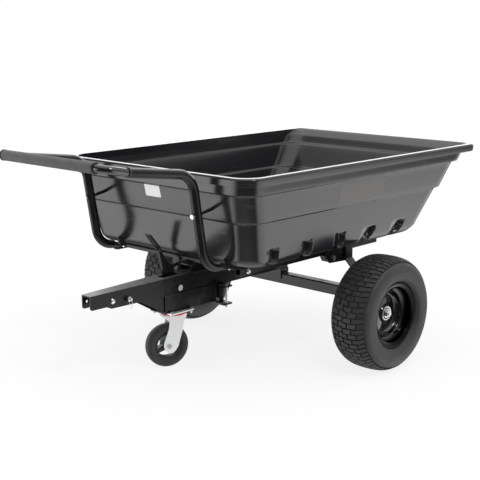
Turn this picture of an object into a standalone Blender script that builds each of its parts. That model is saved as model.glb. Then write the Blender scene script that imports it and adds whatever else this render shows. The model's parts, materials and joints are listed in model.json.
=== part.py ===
"""Garden dump trailer: a poly tub that tips back about its axle on a steel tow frame.

Run with: blender --background --python part.py
Units are metres, +Z is up, the tow bar points to -Y and +X is the trailer's left.

The trailer stands on its two big wheels and on a caster that is a little short, so
everything leans nose-down by LEAN. All sizes below are given in the trailer's own level
frame: x from the centre plane, y from the axle line, z above the wheels' lowest point.
One empty, trailer_lean, turns that frame into place.
"""

import math

import bmesh
import bpy
from mathutils import Matrix, Vector

# Stance
LEAN = math.radians(3.4)
AXLE_Y = 0.23861
WHEEL_RADIUS = 0.203
GAP = 0.0003

# Main wheels, 16 x 6.50-8
WHEEL_X = 0.4795
TYRE_WIDTH = 0.165
TYRE_WALL = 0.009
RIM_FLANGE_RADIUS = 0.118
RIM_HALF_WIDTH = 0.0695
BEAD_RADIUS = 0.1016
HUB_RADIUS = 0.021
HUB_WALL = 0.0035
HUB_OUTER_X = 0.026
HUB_INNER_X = -0.049
SPINDLE_RADIUS = 0.0125
SPINDLE_END_RADIUS = 0.0075

# Tub
RIM_HALF_X = 0.451
RIM_FRONT_Y = -0.652
RIM_REAR_Y = 0.656
RIM_TOP_Z = 0.738
LIP_DEPTH = 0.027
LIP_WIDTH = 0.014
REAR_LIP_WIDTH = 0.050
LIP_DRAFT = 0.0025
REAR_LIP_DRAFT = 0.0004
RIM_WIDTH = 0.020
REAR_RIM_WIDTH = 0.018
STEP_Z = (0.677, 0.584)
STEP_WIDTH = 0.009
REAR_STEP_WIDTH = 0.021
TUB_FLOOR_Z = 0.4300
TUB_WALL = 0.005
SUMP_HALF_X = 0.200
SUMP_FRONT_Y = -0.488
SUMP_REAR_Y = -0.130
SUMP_FLOOR_Z = 0.386
LABEL_X = -0.008
LABEL_Z = 0.655
LABEL_HALF = (0.037, 0.0205)
LABEL_THICKNESS = 0.0008

# Frame under the tub
RAIL_X = 0.3025
RAIL_SIZE = 0.025
RAIL_WALL = 0.002
RAIL_TOP_Z = 0.4240
RAIL_FRONT_Y = -0.540
RAIL_REAR_Y = 0.196
REAR_BAR_Y = 0.150
REAR_BAR_HALF_X = 0.330
REAR_BAR_SIZE = (0.040, 0.005)
ANGLE_FRONT_Y = -0.552
ANGLE_FACE_Y = -0.520
ANGLE_Z = (0.4086, 0.4295)
ANGLE_WALL = 0.004
ANGLE_HALF_X = 0.2893
LUG_X = 0.3110
LUG_WIDTH = 0.028
BRACKET_X = 0.3285
BRACKET_BOLT_YZ = (-0.083, 0.388)
STRAP_THICKNESS = 0.006
STRAP_TOP_X = 0.3352
STRAP_FOOT_X = 0.372

# Handle
LEG_X = 0.262
LEG_RADIUS = 0.0155
LOOP_RADIUS = 0.0125
SOCKET_DEPTH = 0.080
GRIP_RADIUS = 0.018
GRIP_HALF_LENGTH = 0.221
HANDLE_Y = -1.050
HANDLE_Z = 0.796
STANDOFF_Z = 0.615
LEG_BEND = 0.074
LEG_BOLT_Y = -0.5320
LEG_BOLT_RADIUS = 0.0040
TAB_HALF = (0.0170, 0.0029)
STANDOFF_RADIUS = 0.0048
SLEEVE_RADIUS = 0.0060

# Tow bar
BAR_HALF_X = 0.033
BAR_FRONT_HALF_X = 0.0215
BAR_FRONT_Y = -0.922
BAR_TOP_Z = 0.358
BAR_BOTTOM_Z = 0.291
BAR_WALL = 0.004
BOX_FRONT_Y = -0.617
BOX_REAR_Y = -0.371
BOX_BOTTOM_Z = 0.2360
BOX_TOP_Z = 0.2975
HITCH_HOLE_YZ = ((-0.903, 0.329), (-0.833, 0.3235), (-0.772, 0.321))
HITCH_HOLE_RADIUS = (0.0050, 0.0070)
LEVER_SLOT = (-0.604, -0.527)
PIN_RADIUS = 0.0060
LEVER_PIVOT_Y = -0.5450
LEVER_PIVOT_Z = 0.3160
LEVER_BOLT_RADIUS = 0.0050
LEVER_PLATE = 0.010
LEVER_ARM_WIDTH = 0.026
SPRING_TURNS = 4
SPRING_X = (0.0070, 0.0260)
SPRING_RADIUS = 0.0085
SPRING_WIRE = 0.0010
CLAMP_Y = -0.3450
CLAMP_PLATE_HALF = (0.0715, 0.022)
CLAMP_PLATE_THICKNESS = 0.005
CLAMP_SPACER_X = 0.030
CLAMP_SPACER_HALF = (0.010, 0.011)
CLAMP_BOLT_X = 0.0610
CLAMP_BOLT_RADIUS = 0.0058
CLAMP_LOW_Z = 0.2250
CLAMP_HIGH_Z = 0.2883

# Axle
BEAM_SIZE = 0.040
BEAM_WALL = 0.003
BEAM_TOP_Z = 0.2730
BEAM_HALF_X = 0.362

# Caster
CASTER_Y = -0.547
CASTER_TRAIL = 0.024
CASTER_HEADING = math.radians(-112)
CASTER_RADIUS = 0.0765
CASTER_WIDTH = 0.036
CASTER_SPOKES = 3
FIRST_SPOKE = math.radians(82)
CASTER_PLATE_TOP = 0.2357
CASTER_PLATE_THICKNESS = 0.004
CASTER_PLATE_HALF = 0.053
FORK_TOP_Z = 0.2205
FORK_THICKNESS = 0.003
CASTER_AXLE_RADIUS = 0.0045

MATERIALS = {
    "tub_plastic": ((0.022, 0.022, 0.024), 0.34, 0.0),
    "frame_paint": ((0.016, 0.016, 0.017), 0.38, 0.2),
    "tyre_rubber": ((0.030, 0.030, 0.031), 0.72, 0.0),
    "grip_rubber": ((0.055, 0.055, 0.055), 0.85, 0.0),
    "rim_paint": ((0.010, 0.010, 0.011), 0.22, 0.2),
    "zinc": ((0.70, 0.70, 0.72), 0.28, 1.0),
    "seal_red": ((0.55, 0.05, 0.04), 0.50, 0.0),
    "label_white": ((0.85, 0.85, 0.84), 0.55, 0.0),
    "core_plastic": ((0.020, 0.020, 0.021), 0.45, 0.0),
}


def clear_scene():
    """Start from an empty scene without closing the file."""
    for old in list(bpy.data.objects):
        bpy.data.objects.remove(old, do_unlink=True)


def make_materials():
    """One Principled material for each finish."""
    made = {}
    for name, (colour, roughness, metallic) in MATERIALS.items():
        material = bpy.data.materials.new(name)
        material.use_nodes = True
        shader = material.node_tree.nodes["Principled BSDF"]
        shader.inputs["Base Color"].default_value = (*colour, 1.0)
        shader.inputs["Roughness"].default_value = roughness
        shader.inputs["Metallic"].default_value = metallic
        material.diffuse_color = (*colour, 1.0)
        made[name] = material
    return made


def make_empty(name, parent, place):
    """An empty at a place in the level frame."""
    empty = bpy.data.objects.new(name, None)
    bpy.context.collection.objects.link(empty)
    empty["level_place"] = place
    if parent:
        empty.parent = parent
        empty.location = Vector(place) - Vector(parent["level_place"])
    return empty


def finish_mesh(name, bm, material, parent, place=(0.0, 0.0, 0.0), smooth=False):
    """Turn a bmesh, built about its place in the level frame, into a placed object."""
    bmesh.ops.recalc_face_normals(bm, faces=bm.faces[:])
    mesh = bpy.data.meshes.new(name)
    bm.to_mesh(mesh)
    bm.free()
    mesh.materials.append(MADE[material])
    if smooth:
        mesh.shade_smooth()
        mesh.set_sharp_from_angle(angle=math.radians(35))
    made = bpy.data.objects.new(name, mesh)
    bpy.context.collection.objects.link(made)
    made.parent = parent
    made.location = Vector(place) - Vector(parent["level_place"])
    return made


def loft(rings, closed_tube=False):
    """Bridge rings of points in order; cap both ends, or join the last to the first."""
    bm = bmesh.new()
    loops = [[bm.verts.new(point) for point in ring] for ring in rings]
    count = len(loops[0])
    pairs = list(zip(loops, loops[1:]))
    if closed_tube:
        pairs.append((loops[-1], loops[0]))
    for low, high in pairs:
        for i in range(count):
            j = (i + 1) % count
            bm.faces.new((low[i], low[j], high[j], high[i]))
    if not closed_tube:
        bm.faces.new(loops[0])
        bm.faces.new(loops[-1])
    return bm


def circle(radius, count, start=0.0):
    """Points round a circle."""
    turns = [start + 2 * math.pi * i / count for i in range(count)]
    return [(radius * math.cos(turn), radius * math.sin(turn)) for turn in turns]


def revolve_x(profile, segments, start=-math.pi / 2, sign=1):
    """Turn a closed outline of (x, radius) points about the X axis."""
    rings = []
    for a, b in circle(1.0, segments, start):
        rings.append([(sign * x, r * a, r * b) for x, r in profile])
    return loft(rings, closed_tube=True)


def turned_x(profile, segments, start=-math.pi / 2, sign=1):
    """Turn an open outline of (x, radius) points about the X axis, with flat end caps."""
    return loft([[(sign * x, r * a, r * b) for a, b in circle(1.0, segments, start)] for x, r in profile])


def drill(radius, segments=16, half_length=0.050):
    """A long rod along X to cut a round hole with."""
    return turned_x([(-half_length, radius), (half_length, radius)], segments)


def prism(outline, thickness, axis="x"):
    """Extrude an outline by thickness, centred, along x, y or z."""
    half = thickness / 2
    order = {
        "x": lambda a, b, c: (c, a, b),
        "y": lambda a, b, c: (a, c, b),
        "z": lambda a, b, c: (a, b, c),
    }[axis]
    return loft([[order(a, b, side) for a, b in outline] for side in (-half, half)])


def hollow_prism(outer, inner, length, axis):
    """A tube between two outlines with the same number of points, centred, along x, y or z."""
    half = length / 2
    rings = []
    for outline, side in ((outer, -half), (outer, half), (inner, half), (inner, -half)):
        if axis == "x":
            rings.append([(side, a, b) for a, b in outline])
        elif axis == "y":
            rings.append([(a, side, b) for a, b in outline])
        else:
            rings.append([(a, b, side) for a, b in outline])
    return loft(rings, closed_tube=True)


def rounded_rect(half_a, half_b, radius, steps=2):
    """Outline of a rectangle with round corners, centred on zero."""
    points = []
    corners = ((half_a, half_b, 0), (-half_a, half_b, 1), (-half_a, -half_b, 2), (half_a, -half_b, 3))
    for a, b, quarter in corners:
        centre_a = a - math.copysign(radius, a)
        centre_b = b - math.copysign(radius, b)
        for k in range(steps + 1):
            turn = math.pi / 2 * (quarter + k / steps)
            points.append((centre_a + radius * math.cos(turn), centre_b + radius * math.sin(turn)))
    return points


def sweep(path, radius, sides=12, flattened=()):
    """A round bar along a path; flattened adds (point, half width, half height) at its start."""
    path = [Vector(p) for p in path]
    rings = []
    for point, half_width, half_height in flattened:
        spot = Vector(point)
        rings.append([spot + Vector((half_width * a, 0, half_height * b)) for a, b in circle(1.0, sides)])
    side = Vector((1, 0, 0)) if flattened else None
    for i, point in enumerate(path):
        before = path[max(i - 1, 0)]
        after = path[min(i + 1, len(path) - 1)]
        along = (after - before).normalized()
        if side is None:
            side = along.orthogonal().normalized()
        side = (side - along * side.dot(along)).normalized()
        up = along.cross(side)
        rings.append([point + radius * (a * side + b * up) for a, b in circle(1.0, sides)])
    return loft(rings)


def round_path(corners, radius, steps=5):
    """A path through corners, each one rounded by an arc of the given radius."""
    points = [Vector(corners[0])]
    for before, here, after in zip(corners, corners[1:], corners[2:]):
        before, here, after = Vector(before), Vector(here), Vector(after)
        back = (before - here).normalized()
        ahead = (after - here).normalized()
        half_angle = back.angle(ahead) / 2
        reach = radius / math.tan(half_angle)
        centre = here + (back + ahead).normalized() * radius / math.sin(half_angle)
        first = here + back * reach - centre
        last = here + ahead * reach - centre
        whole = first.angle(last)
        axis = first.cross(last).normalized()
        for k in range(steps + 1):
            points.append(centre + Matrix.Rotation(whole * k / steps, 3, axis) @ first)
    points.append(Vector(corners[-1]))
    return points


def combine(target, name, bm, place, operation):
    """Cut, keep or join a bmesh, built about its place, with an exact Boolean."""
    tool = finish_mesh(name, bm, "zinc", target.parent, place)
    tool.hide_render = True
    tool.display_type = "WIRE"
    boolean = target.modifiers.new(name, "BOOLEAN")
    boolean.operation = operation
    boolean.solver = "EXACT"
    boolean.object = tool
    return tool


def cut(target, name, bm, place):
    """Cut a bmesh out of an object."""
    return combine(target, name, bm, place, "DIFFERENCE")


def add_bolt(name, parent, place, shank_radius, length, head_radius, head_height, axis="x", sign=1,
             material="zinc"):
    """A hex-headed bolt: the head's underside is at the place, the shank runs back from it."""
    rings = []
    stations = (
        (-length, shank_radius, 1.0),
        (0.0, shank_radius, 1.0),
        (0.0, head_radius, math.cos(math.pi / 6)),
        (head_height, head_radius, math.cos(math.pi / 6)),
    )
    for along, radius, flat in stations:
        ring = []
        for i, (a, b) in enumerate(circle(radius, 12)):
            if i % 2:
                a, b = a * flat, b * flat
            spot = {"x": (along, a, b), "y": (a, along, b), "z": (a, b, along)}[axis]
            ring.append(tuple(sign * value for value in spot))
        rings.append(ring)
    return finish_mesh(name, loft(rings), material, parent, place)


# Tub

def tub_ring(half_x, front_y, rear_y, front_corner, rear_corner, z):
    """One level loop round the tub."""
    steps = 5
    points = []

    def arc(sign_x, y_edge, corner, quarter):
        centre_x = sign_x * (half_x - corner)
        centre_y = y_edge - corner if quarter < 2 else y_edge + corner
        for k in range(steps + 1):
            turn = math.pi / 2 * (quarter + k / steps)
            points.append((centre_x + corner * math.cos(turn), centre_y + corner * math.sin(turn), z))

    side_rear = rear_y - rear_corner
    side_front = front_y + front_corner
    arc(1, rear_y, rear_corner, 0)
    for share in (0.5, 0.0, -0.5):
        points.append(((half_x - rear_corner) * share, rear_y, z))
    arc(-1, rear_y, rear_corner, 1)
    for share in (0.33, 0.67):
        points.append((-half_x, side_rear + share * (side_front - side_rear), z))
    arc(-1, front_y, front_corner, 2)
    for share in (-0.5, 0.0, 0.5):
        points.append(((half_x - front_corner) * share, front_y, z))
    arc(1, front_y, front_corner, 3)
    for share in (0.67, 0.33):
        points.append((half_x, side_rear + share * (side_front - side_rear), z))
    return points


def tub_levels():
    """The outer wall from floor to rim: half width, front y, rear y, front and rear corner radius, z."""
    top, low = STEP_Z
    lip_z = RIM_TOP_Z - LIP_DEPTH
    step, rear = STEP_WIDTH, REAR_STEP_WIDTH
    lip = LIP_WIDTH
    return [
        (0.362, -0.520, 0.300, 0.058, 0.060, TUB_FLOOR_Z),
        (0.379, -0.556, 0.338, 0.070, 0.065, TUB_FLOOR_Z + 0.006),
        (0.388, -0.570, 0.374, 0.072, 0.070, TUB_FLOOR_Z + 0.022),
        (0.405, -0.597, 0.481, 0.072, 0.070, low),
        (0.405 + step, -0.597 - step, 0.481 + rear, 0.075, 0.075, low + 0.004),
        (0.426, -0.628, 0.566, 0.077, 0.075, top),
        (0.426 + step, -0.628 - step, 0.566 + rear, 0.080, 0.070, top + 0.004),
        (RIM_HALF_X - lip, RIM_FRONT_Y + lip, RIM_REAR_Y - REAR_LIP_WIDTH, 0.077, 0.062, lip_z),
        (RIM_HALF_X - LIP_DRAFT, RIM_FRONT_Y + LIP_DRAFT, RIM_REAR_Y - REAR_LIP_DRAFT, 0.078, 0.042, lip_z),
        (RIM_HALF_X, RIM_FRONT_Y, RIM_REAR_Y, 0.079, 0.042, RIM_TOP_Z - 0.004),
        (RIM_HALF_X - 0.004, RIM_FRONT_Y + 0.004, RIM_REAR_Y - 0.004, 0.075, 0.038, RIM_TOP_Z),
    ]


def sump_ring(inset, z):
    """The floor's sunk middle as a loop with as many points as the wall's loops."""
    floor = tub_levels()[0]
    half_x, front_y, rear_y = floor[:3]
    middle = (front_y + rear_y) / 2
    sump_middle = (SUMP_FRONT_Y + SUMP_REAR_Y) / 2
    scale_x = (SUMP_HALF_X - inset) / half_x
    scale_y = (SUMP_REAR_Y - SUMP_FRONT_Y - 2 * inset) / (rear_y - front_y)
    return [(x * scale_x, sump_middle + (y - middle) * scale_y, z) for x, y, _ in tub_ring(*floor)]


def wall_slope():
    """How far the front wall's upper tier leans out from upright."""
    low, high = tub_levels()[4:6]
    return math.atan2(low[1] - high[1], high[5] - low[5])


def front_wall_y(z):
    """Where the front wall's upper tier is at a height."""
    low = tub_levels()[4]
    return low[1] - (z - low[5]) * math.tan(wall_slope())


def add_tub(parent):
    """The moulded tub: outer skin, rolled rim and inner skin as one closed shell."""
    levels = tub_levels()
    rings = [sump_ring(0.030, SUMP_FLOOR_Z), sump_ring(0.0, TUB_FLOOR_Z)]
    rings += [tub_ring(*level) for level in levels]
    inner_x, inner_front = RIM_HALF_X - RIM_WIDTH, RIM_FRONT_Y + RIM_WIDTH
    rings.append(tub_ring(inner_x, inner_front, RIM_REAR_Y - REAR_RIM_WIDTH, 0.068, 0.036, RIM_TOP_Z))
    for half_x, front_y, rear_y, front_corner, rear_corner, z in reversed(levels[:8]):
        on_floor = z < TUB_FLOOR_Z + 0.010
        rear_wall = TUB_WALL if on_floor else TUB_WALL * 1.5
        rise = TUB_WALL if on_floor else TUB_WALL * 0.6
        rings.append(
            tub_ring(half_x - TUB_WALL, front_y + TUB_WALL, rear_y - rear_wall, front_corner - TUB_WALL,
                     rear_corner - TUB_WALL, z + rise)
        )
    rings.append(sump_ring(0.005, TUB_FLOOR_Z + TUB_WALL))
    rings.append(sump_ring(0.035, SUMP_FLOOR_Z + TUB_WALL))
    finish_mesh("tub", loft(rings), "tub_plastic", parent, smooth=True)

    slope = wall_slope()
    place = (LABEL_X, front_wall_y(LABEL_Z) - LABEL_THICKNESS / 2 - GAP * 2, LABEL_Z)
    label = prism(rounded_rect(*LABEL_HALF, 0.002), LABEL_THICKNESS, "y")
    label = finish_mesh("blank_label", label, "label_white", parent, place)
    label.rotation_euler = (slope, 0.0, 0.0)


def add_tilt_frame(parent):
    """Rails, crossbars, latch striker and the bent brackets that hang the tub on the stub axles."""
    rail_z = RAIL_TOP_Z - RAIL_SIZE / 2
    half = RAIL_SIZE / 2
    outer = rounded_rect(half, half, 0.003)
    inner = rounded_rect(half - RAIL_WALL, half - RAIL_WALL, 0.0015)
    length = RAIL_REAR_Y - RAIL_FRONT_Y
    bolt_y, bolt_z = BRACKET_BOLT_YZ
    rail_bottom = RAIL_TOP_Z - RAIL_SIZE - GAP
    bracket_face = BRACKET_X + 0.0025
    for side, sign in (("left", 1), ("right", -1)):
        finish_mesh(f"tub_rail_{side}", hollow_prism(outer, inner, length, "y"), "frame_paint", parent,
                    (sign * RAIL_X, (RAIL_REAR_Y + RAIL_FRONT_Y) / 2, rail_z))
        outline = [(-0.035, 0.0), (0.095, 0.0), (0.095, -0.012), (0.060, -0.023), (-0.020, -0.023)]
        outline = [(y, z + rail_bottom - bolt_z) for y, z in outline]
        lug = finish_mesh(f"rail_lug_{side}", prism(outline, LUG_WIDTH, "x"), "frame_paint", parent,
                          (sign * LUG_X, bolt_y, bolt_z))
        cut(lug, f"lug_bore_{side}", drill(0.0062), (sign * LUG_X, bolt_y, bolt_z))
        outline = [(-0.037, 0.032), (-0.037, 0.002), (-0.017, -0.016), (0.099, -0.022), (0.099, 0.028)]
        outline.append((0.063, 0.032))
        plate = finish_mesh(f"bracket_plate_{side}", prism(outline, 0.005, "x"), "frame_paint", parent,
                            (sign * BRACKET_X, bolt_y, bolt_z))
        cut(plate, f"bracket_plate_bore_{side}", drill(0.0063), (sign * BRACKET_X, bolt_y, bolt_z))
        head_place = (sign * (bracket_face + GAP), bolt_y, bolt_z)
        add_bolt(f"bracket_bolt_{side}", parent, head_place, 0.0060, 0.0300, 0.0095, 0.0065, "x", sign)
        centre_line = [(STRAP_FOOT_X, 0.180), (STRAP_FOOT_X, 0.340)]
        centre_line += [(STRAP_TOP_X, 0.375), (STRAP_TOP_X, 0.420)]
        shift = STRAP_THICKNESS / 2
        outline = [(x - shift, z - shift * (0.4 if 0 < k < 3 else 0)) for k, (x, z) in enumerate(centre_line)]
        back = [(x + shift, z + shift * (0.4 if 0 < k < 3 else 0)) for k, (x, z) in enumerate(centre_line)]
        outline = [(sign * x, z - WHEEL_RADIUS) for x, z in outline + back[::-1]]
        strap = finish_mesh(f"bracket_strap_{side}", prism(outline, 0.040, "y"), "frame_paint", parent,
                            (0, 0, WHEEL_RADIUS))
        eye = drill(SPINDLE_RADIUS + GAP * 1.5, 24)
        cut(strap, f"strap_eye_{side}", eye, (sign * STRAP_FOOT_X, 0, WHEEL_RADIUS))

    width, thickness = REAR_BAR_SIZE
    outline = rounded_rect(REAR_BAR_HALF_X, width / 2, 0.006)
    finish_mesh("crossbar_rear", prism(outline, thickness, "z"), "frame_paint", parent,
                (0, REAR_BAR_Y, RAIL_TOP_Z + GAP + thickness / 2))
    low, high = ANGLE_Z
    back = ANGLE_FACE_Y + ANGLE_WALL
    outline = [(ANGLE_FACE_Y, low), (back, low), (back, high), (ANGLE_FRONT_Y, high),
               (ANGLE_FRONT_Y, high - ANGLE_WALL), (ANGLE_FACE_Y, high - ANGLE_WALL)]
    front = finish_mesh("crossbar_front", prism(outline, ANGLE_HALF_X * 2, "x"), "frame_paint", parent)
    for side, sign in (("left", 1), ("right", -1)):
        bore = prism(circle(LEG_BOLT_RADIUS + GAP, 12), 0.02, "z")
        cut(front, f"leg_bolt_bore_{side}", bore, (sign * LEG_X, LEG_BOLT_Y, high))
    face = ANGLE_FACE_Y - GAP
    striker = [(face - 0.0092, 0.372), (face, 0.372), (face, high - ANGLE_WALL - GAP),
               (face - 0.0092, high - ANGLE_WALL - GAP)]
    finish_mesh("latch_striker", prism(striker, 0.030, "x"), "zinc", parent)


def leg_route():
    """Corner points (y, z) of a handle leg, from beside the crossbar up and out to the loop."""
    return [(-0.5874, 0.4331), (-0.6500, 0.4331), (-0.7025, 0.7440), (-0.957, 0.7769)]


def add_standoff(parent, leg, side, x):
    """A bolt square through a leg to the tub's front wall, with its spacer sleeve."""
    low, high = leg_route()[1:3]
    tilt = math.atan2(low[0] - high[0], high[1] - low[1])
    leg_y = low[0] - (STANDOFF_Z - low[1]) * math.tan(tilt)
    centre = Vector((x, leg_y, STANDOFF_Z))
    along = Vector((0, math.cos(tilt), math.sin(tilt)))
    closing = math.cos(tilt) + math.sin(tilt) * math.tan(wall_slope())
    to_wall = (front_wall_y(STANDOFF_Z) - leg_y) / closing - 0.0014
    head = LEG_RADIUS + 0.0036
    bore = cut(leg, f"standoff_bore_{side}", prism(circle(STANDOFF_RADIUS + GAP, 12), 0.06, "y"), centre)
    bolt = add_bolt(f"standoff_bolt_{side}", parent, centre - along * head, STANDOFF_RADIUS, to_wall + head,
                    0.0080, 0.0055, "y", -1)
    start = LEG_RADIUS + GAP * 2
    outer, inner = circle(SLEEVE_RADIUS, 16), circle(STANDOFF_RADIUS + GAP, 16)
    middle = centre + along * (start + to_wall) / 2
    sleeve = finish_mesh(f"standoff_sleeve_{side}", hollow_prism(outer, inner, to_wall - start, "y"),
                         "frame_paint", parent, middle, smooth=True)
    for piece in (bore, bolt, sleeve):
        piece.rotation_euler = (tilt, 0.0, 0.0)


def add_handle(parent):
    """Two bent legs, the loop that plugs into them, the grip sleeve and the bolts that hold them."""
    route = leg_route()
    tab_z = ANGLE_Z[1] - ANGLE_WALL - GAP - TAB_HALF[1]
    tip = Vector((0, *route[-1]))
    along = (tip - Vector((0, *route[-2]))).normalized()
    root = tip - along * SOCKET_DEPTH
    for side, sign in (("left", 1), ("right", -1)):
        end = sign * LEG_X
        across = Vector((end, 0, 0))
        corners = [(end, y, z) for y, z in route]
        flat = [((end, ANGLE_FACE_Y - 0.003, tab_z), *TAB_HALF), ((end, -0.5630, tab_z), *TAB_HALF),
                ((end, -0.5740, tab_z + 0.0050), 0.0165, 0.0085)]
        path = round_path(corners, LEG_BEND)[1:]
        leg = finish_mesh(f"handle_leg_{side}", sweep(path, LEG_RADIUS, 16, flat), "frame_paint", parent,
                          smooth=True)
        socket = sweep([root - along * 0.005 + across, tip + along * 0.010 + across],
                       LOOP_RADIUS + GAP * 1.5, 16)
        cut(leg, f"leg_socket_{side}", socket, (0, 0, 0))
        bore = prism(circle(LEG_BOLT_RADIUS + GAP * 1.5, 12), 0.02, "z")
        cut(leg, f"leg_bore_{side}", bore, (end, LEG_BOLT_Y, tab_z))
        add_bolt(f"leg_bolt_{side}", parent, (end, LEG_BOLT_Y, tab_z - TAB_HALF[1] - GAP), LEG_BOLT_RADIUS,
                 0.0098, 0.0080, 0.0055, "z", -1)
        add_standoff(parent, leg, side, end)
    corners = []
    for sign in (-1, 1):
        arm = [(sign * LEG_X, y, z) for y, z in (root[1:], tip[1:], (HANDLE_Y, HANDLE_Z))]
        corners += arm if sign < 0 else arm[::-1]
    finish_mesh("handle_loop", sweep(round_path(corners, 0.040, 6), LOOP_RADIUS, 16), "rim_paint", parent,
                smooth=True)
    half = GRIP_HALF_LENGTH
    profile = [(-half, LOOP_RADIUS + GAP), (-half, GRIP_RADIUS - 0.003), (-half + 0.003, GRIP_RADIUS)]
    profile += [(-x, r) for x, r in reversed(profile)]
    finish_mesh("handle_grip", revolve_x(profile, 20), "grip_rubber", parent, (0, HANDLE_Y, HANDLE_Z),
                smooth=True)


# Tow bar

def bar_section(y, half_x, bottom_z, top_z):
    """An upside-down U at one station along the bar."""
    inner = half_x - BAR_WALL
    outline = [(-half_x, bottom_z), (-inner, bottom_z), (-inner, top_z - BAR_WALL), (inner, top_z - BAR_WALL)]
    outline += [(inner, bottom_z), (half_x, bottom_z), (half_x, top_z), (-half_x, top_z)]
    return [(x, y, z) for x, z in outline]


def add_tow_bar(parent):
    """The pressed channel, tapered to the hitch, with its holes, the caster's box and the tub's rest."""
    deep_z = BOX_BOTTOM_Z + BAR_WALL + GAP
    stations = [
        (BAR_FRONT_Y, BAR_FRONT_HALF_X, 0.3070, 0.354),
        (-0.858, 0.0239, 0.3075, 0.3550),
        (-0.838, 0.0247, 0.2990, 0.3553),
        (-0.720, 0.0291, 0.2988, 0.3565),
        (BOX_FRONT_Y, BAR_HALF_X, deep_z, BAR_TOP_Z),
        (BOX_REAR_Y, BAR_HALF_X, deep_z, BAR_TOP_Z),
        (BOX_REAR_Y + 0.001, BAR_HALF_X, BAR_BOTTOM_Z, BAR_TOP_Z),
        (BEAM_SIZE / 2, BAR_HALF_X, BAR_BOTTOM_Z, BAR_TOP_Z),
    ]
    sections = [bar_section(*station) for station in stations]
    bar = finish_mesh("tow_bar", loft(sections), "frame_paint", parent)
    corner = [(-0.010, -0.010), (-0.010, 0.0090), (0.0, 0.0090), (0.0007, 0.0055), (0.0026, 0.0026)]
    corner += [(0.0055, 0.0007), (0.0090, 0.0), (0.0090, -0.010)]
    cut(bar, "rounded_corner", prism(corner, 0.1, "x"), (0, BAR_FRONT_Y, stations[0][2]))
    radii = (*HITCH_HOLE_RADIUS, PIN_RADIUS + GAP)
    for index, (y, z) in enumerate(HITCH_HOLE_YZ):
        cut(bar, f"hitch_hole_{index}", drill(radii[index]), (0, y, z))
    front, rear = LEVER_SLOT
    slot = [(-0.015, front), (0.015, front), (0.015, rear), (-0.015, rear)]
    cut(bar, "lever_slot", prism(slot, 0.02, "z"), (0, 0, BAR_TOP_Z))
    cut(bar, "lever_bolt_bore", drill(LEVER_BOLT_RADIUS + GAP), (0, LEVER_PIVOT_Y, LEVER_PIVOT_Z))

    half = BAR_HALF_X + GAP
    out = half + BAR_WALL
    floor = BOX_BOTTOM_Z + BAR_WALL
    outline = [(-out, BOX_BOTTOM_Z), (out, BOX_BOTTOM_Z), (out, BOX_TOP_Z), (half, BOX_TOP_Z), (half, floor)]
    outline += [(-half, floor), (-half, BOX_TOP_Z), (-out, BOX_TOP_Z)]
    length = BOX_REAR_Y - BOX_FRONT_Y - 0.002
    finish_mesh("caster_box", prism(outline, length, "y"), "frame_paint", parent,
                (0, (BOX_FRONT_Y + BOX_REAR_Y) / 2, 0))

    base = BAR_TOP_Z + GAP
    crown = SUMP_FLOOR_Z - 0.0006
    wall = 0.004
    hat = [(-0.060, base), (-0.034, base), (-0.034, crown - wall), (0.034, crown - wall), (0.034, base),
           (0.060, base), (0.060, base + wall), (0.038, base + wall), (0.038, crown), (-0.038, crown),
           (-0.038, base + wall), (-0.060, base + wall)]
    finish_mesh("tub_rest", prism(hat, 0.072, "y"), "frame_paint", parent, (0, -0.4550, 0))


def add_clamp(parent):
    """Two plates, two spacer tubes and two long bolts that stiffen the bar behind the caster."""
    outline = rounded_rect(*CLAMP_PLATE_HALF, 0.004)
    thickness = CLAMP_PLATE_THICKNESS
    low = finish_mesh("clamp_plate_lower", prism(outline, thickness, "z"), "frame_paint", parent,
                      (0, CLAMP_Y, CLAMP_LOW_Z))
    high = finish_mesh("clamp_plate_upper", prism(outline, thickness, "z"), "frame_paint", parent,
                       (0, CLAMP_Y, CLAMP_HIGH_Z))
    post_height = CLAMP_HIGH_Z - CLAMP_LOW_Z - thickness - GAP * 2
    half_x, half_y = CLAMP_SPACER_HALF
    outer = rounded_rect(half_x, half_y, 0.003)
    inner = rounded_rect(half_x - 0.003, half_y - 0.003, 0.0015)
    for side, sign in (("left", 1), ("right", -1)):
        post_place = (sign * CLAMP_SPACER_X, CLAMP_Y, (CLAMP_LOW_Z + CLAMP_HIGH_Z) / 2)
        finish_mesh(f"clamp_spacer_{side}", hollow_prism(outer, inner, post_height, "z"), "frame_paint",
                    parent, post_place)
        for plate, z in ((low, CLAMP_LOW_Z), (high, CLAMP_HIGH_Z)):
            bore = prism(circle(CLAMP_BOLT_RADIUS + GAP * 1.5, 12), 0.02, "z")
            cut(plate, f"{plate.name}_bore_{side}", bore, (sign * CLAMP_BOLT_X, CLAMP_Y, z))
        head_place = (sign * CLAMP_BOLT_X, CLAMP_Y, CLAMP_HIGH_Z + thickness / 2 + GAP)
        add_bolt(f"clamp_bolt_{side}", parent, head_place, CLAMP_BOLT_RADIUS, 0.0780, 0.0095, 0.0065, "z", 1)


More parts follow.
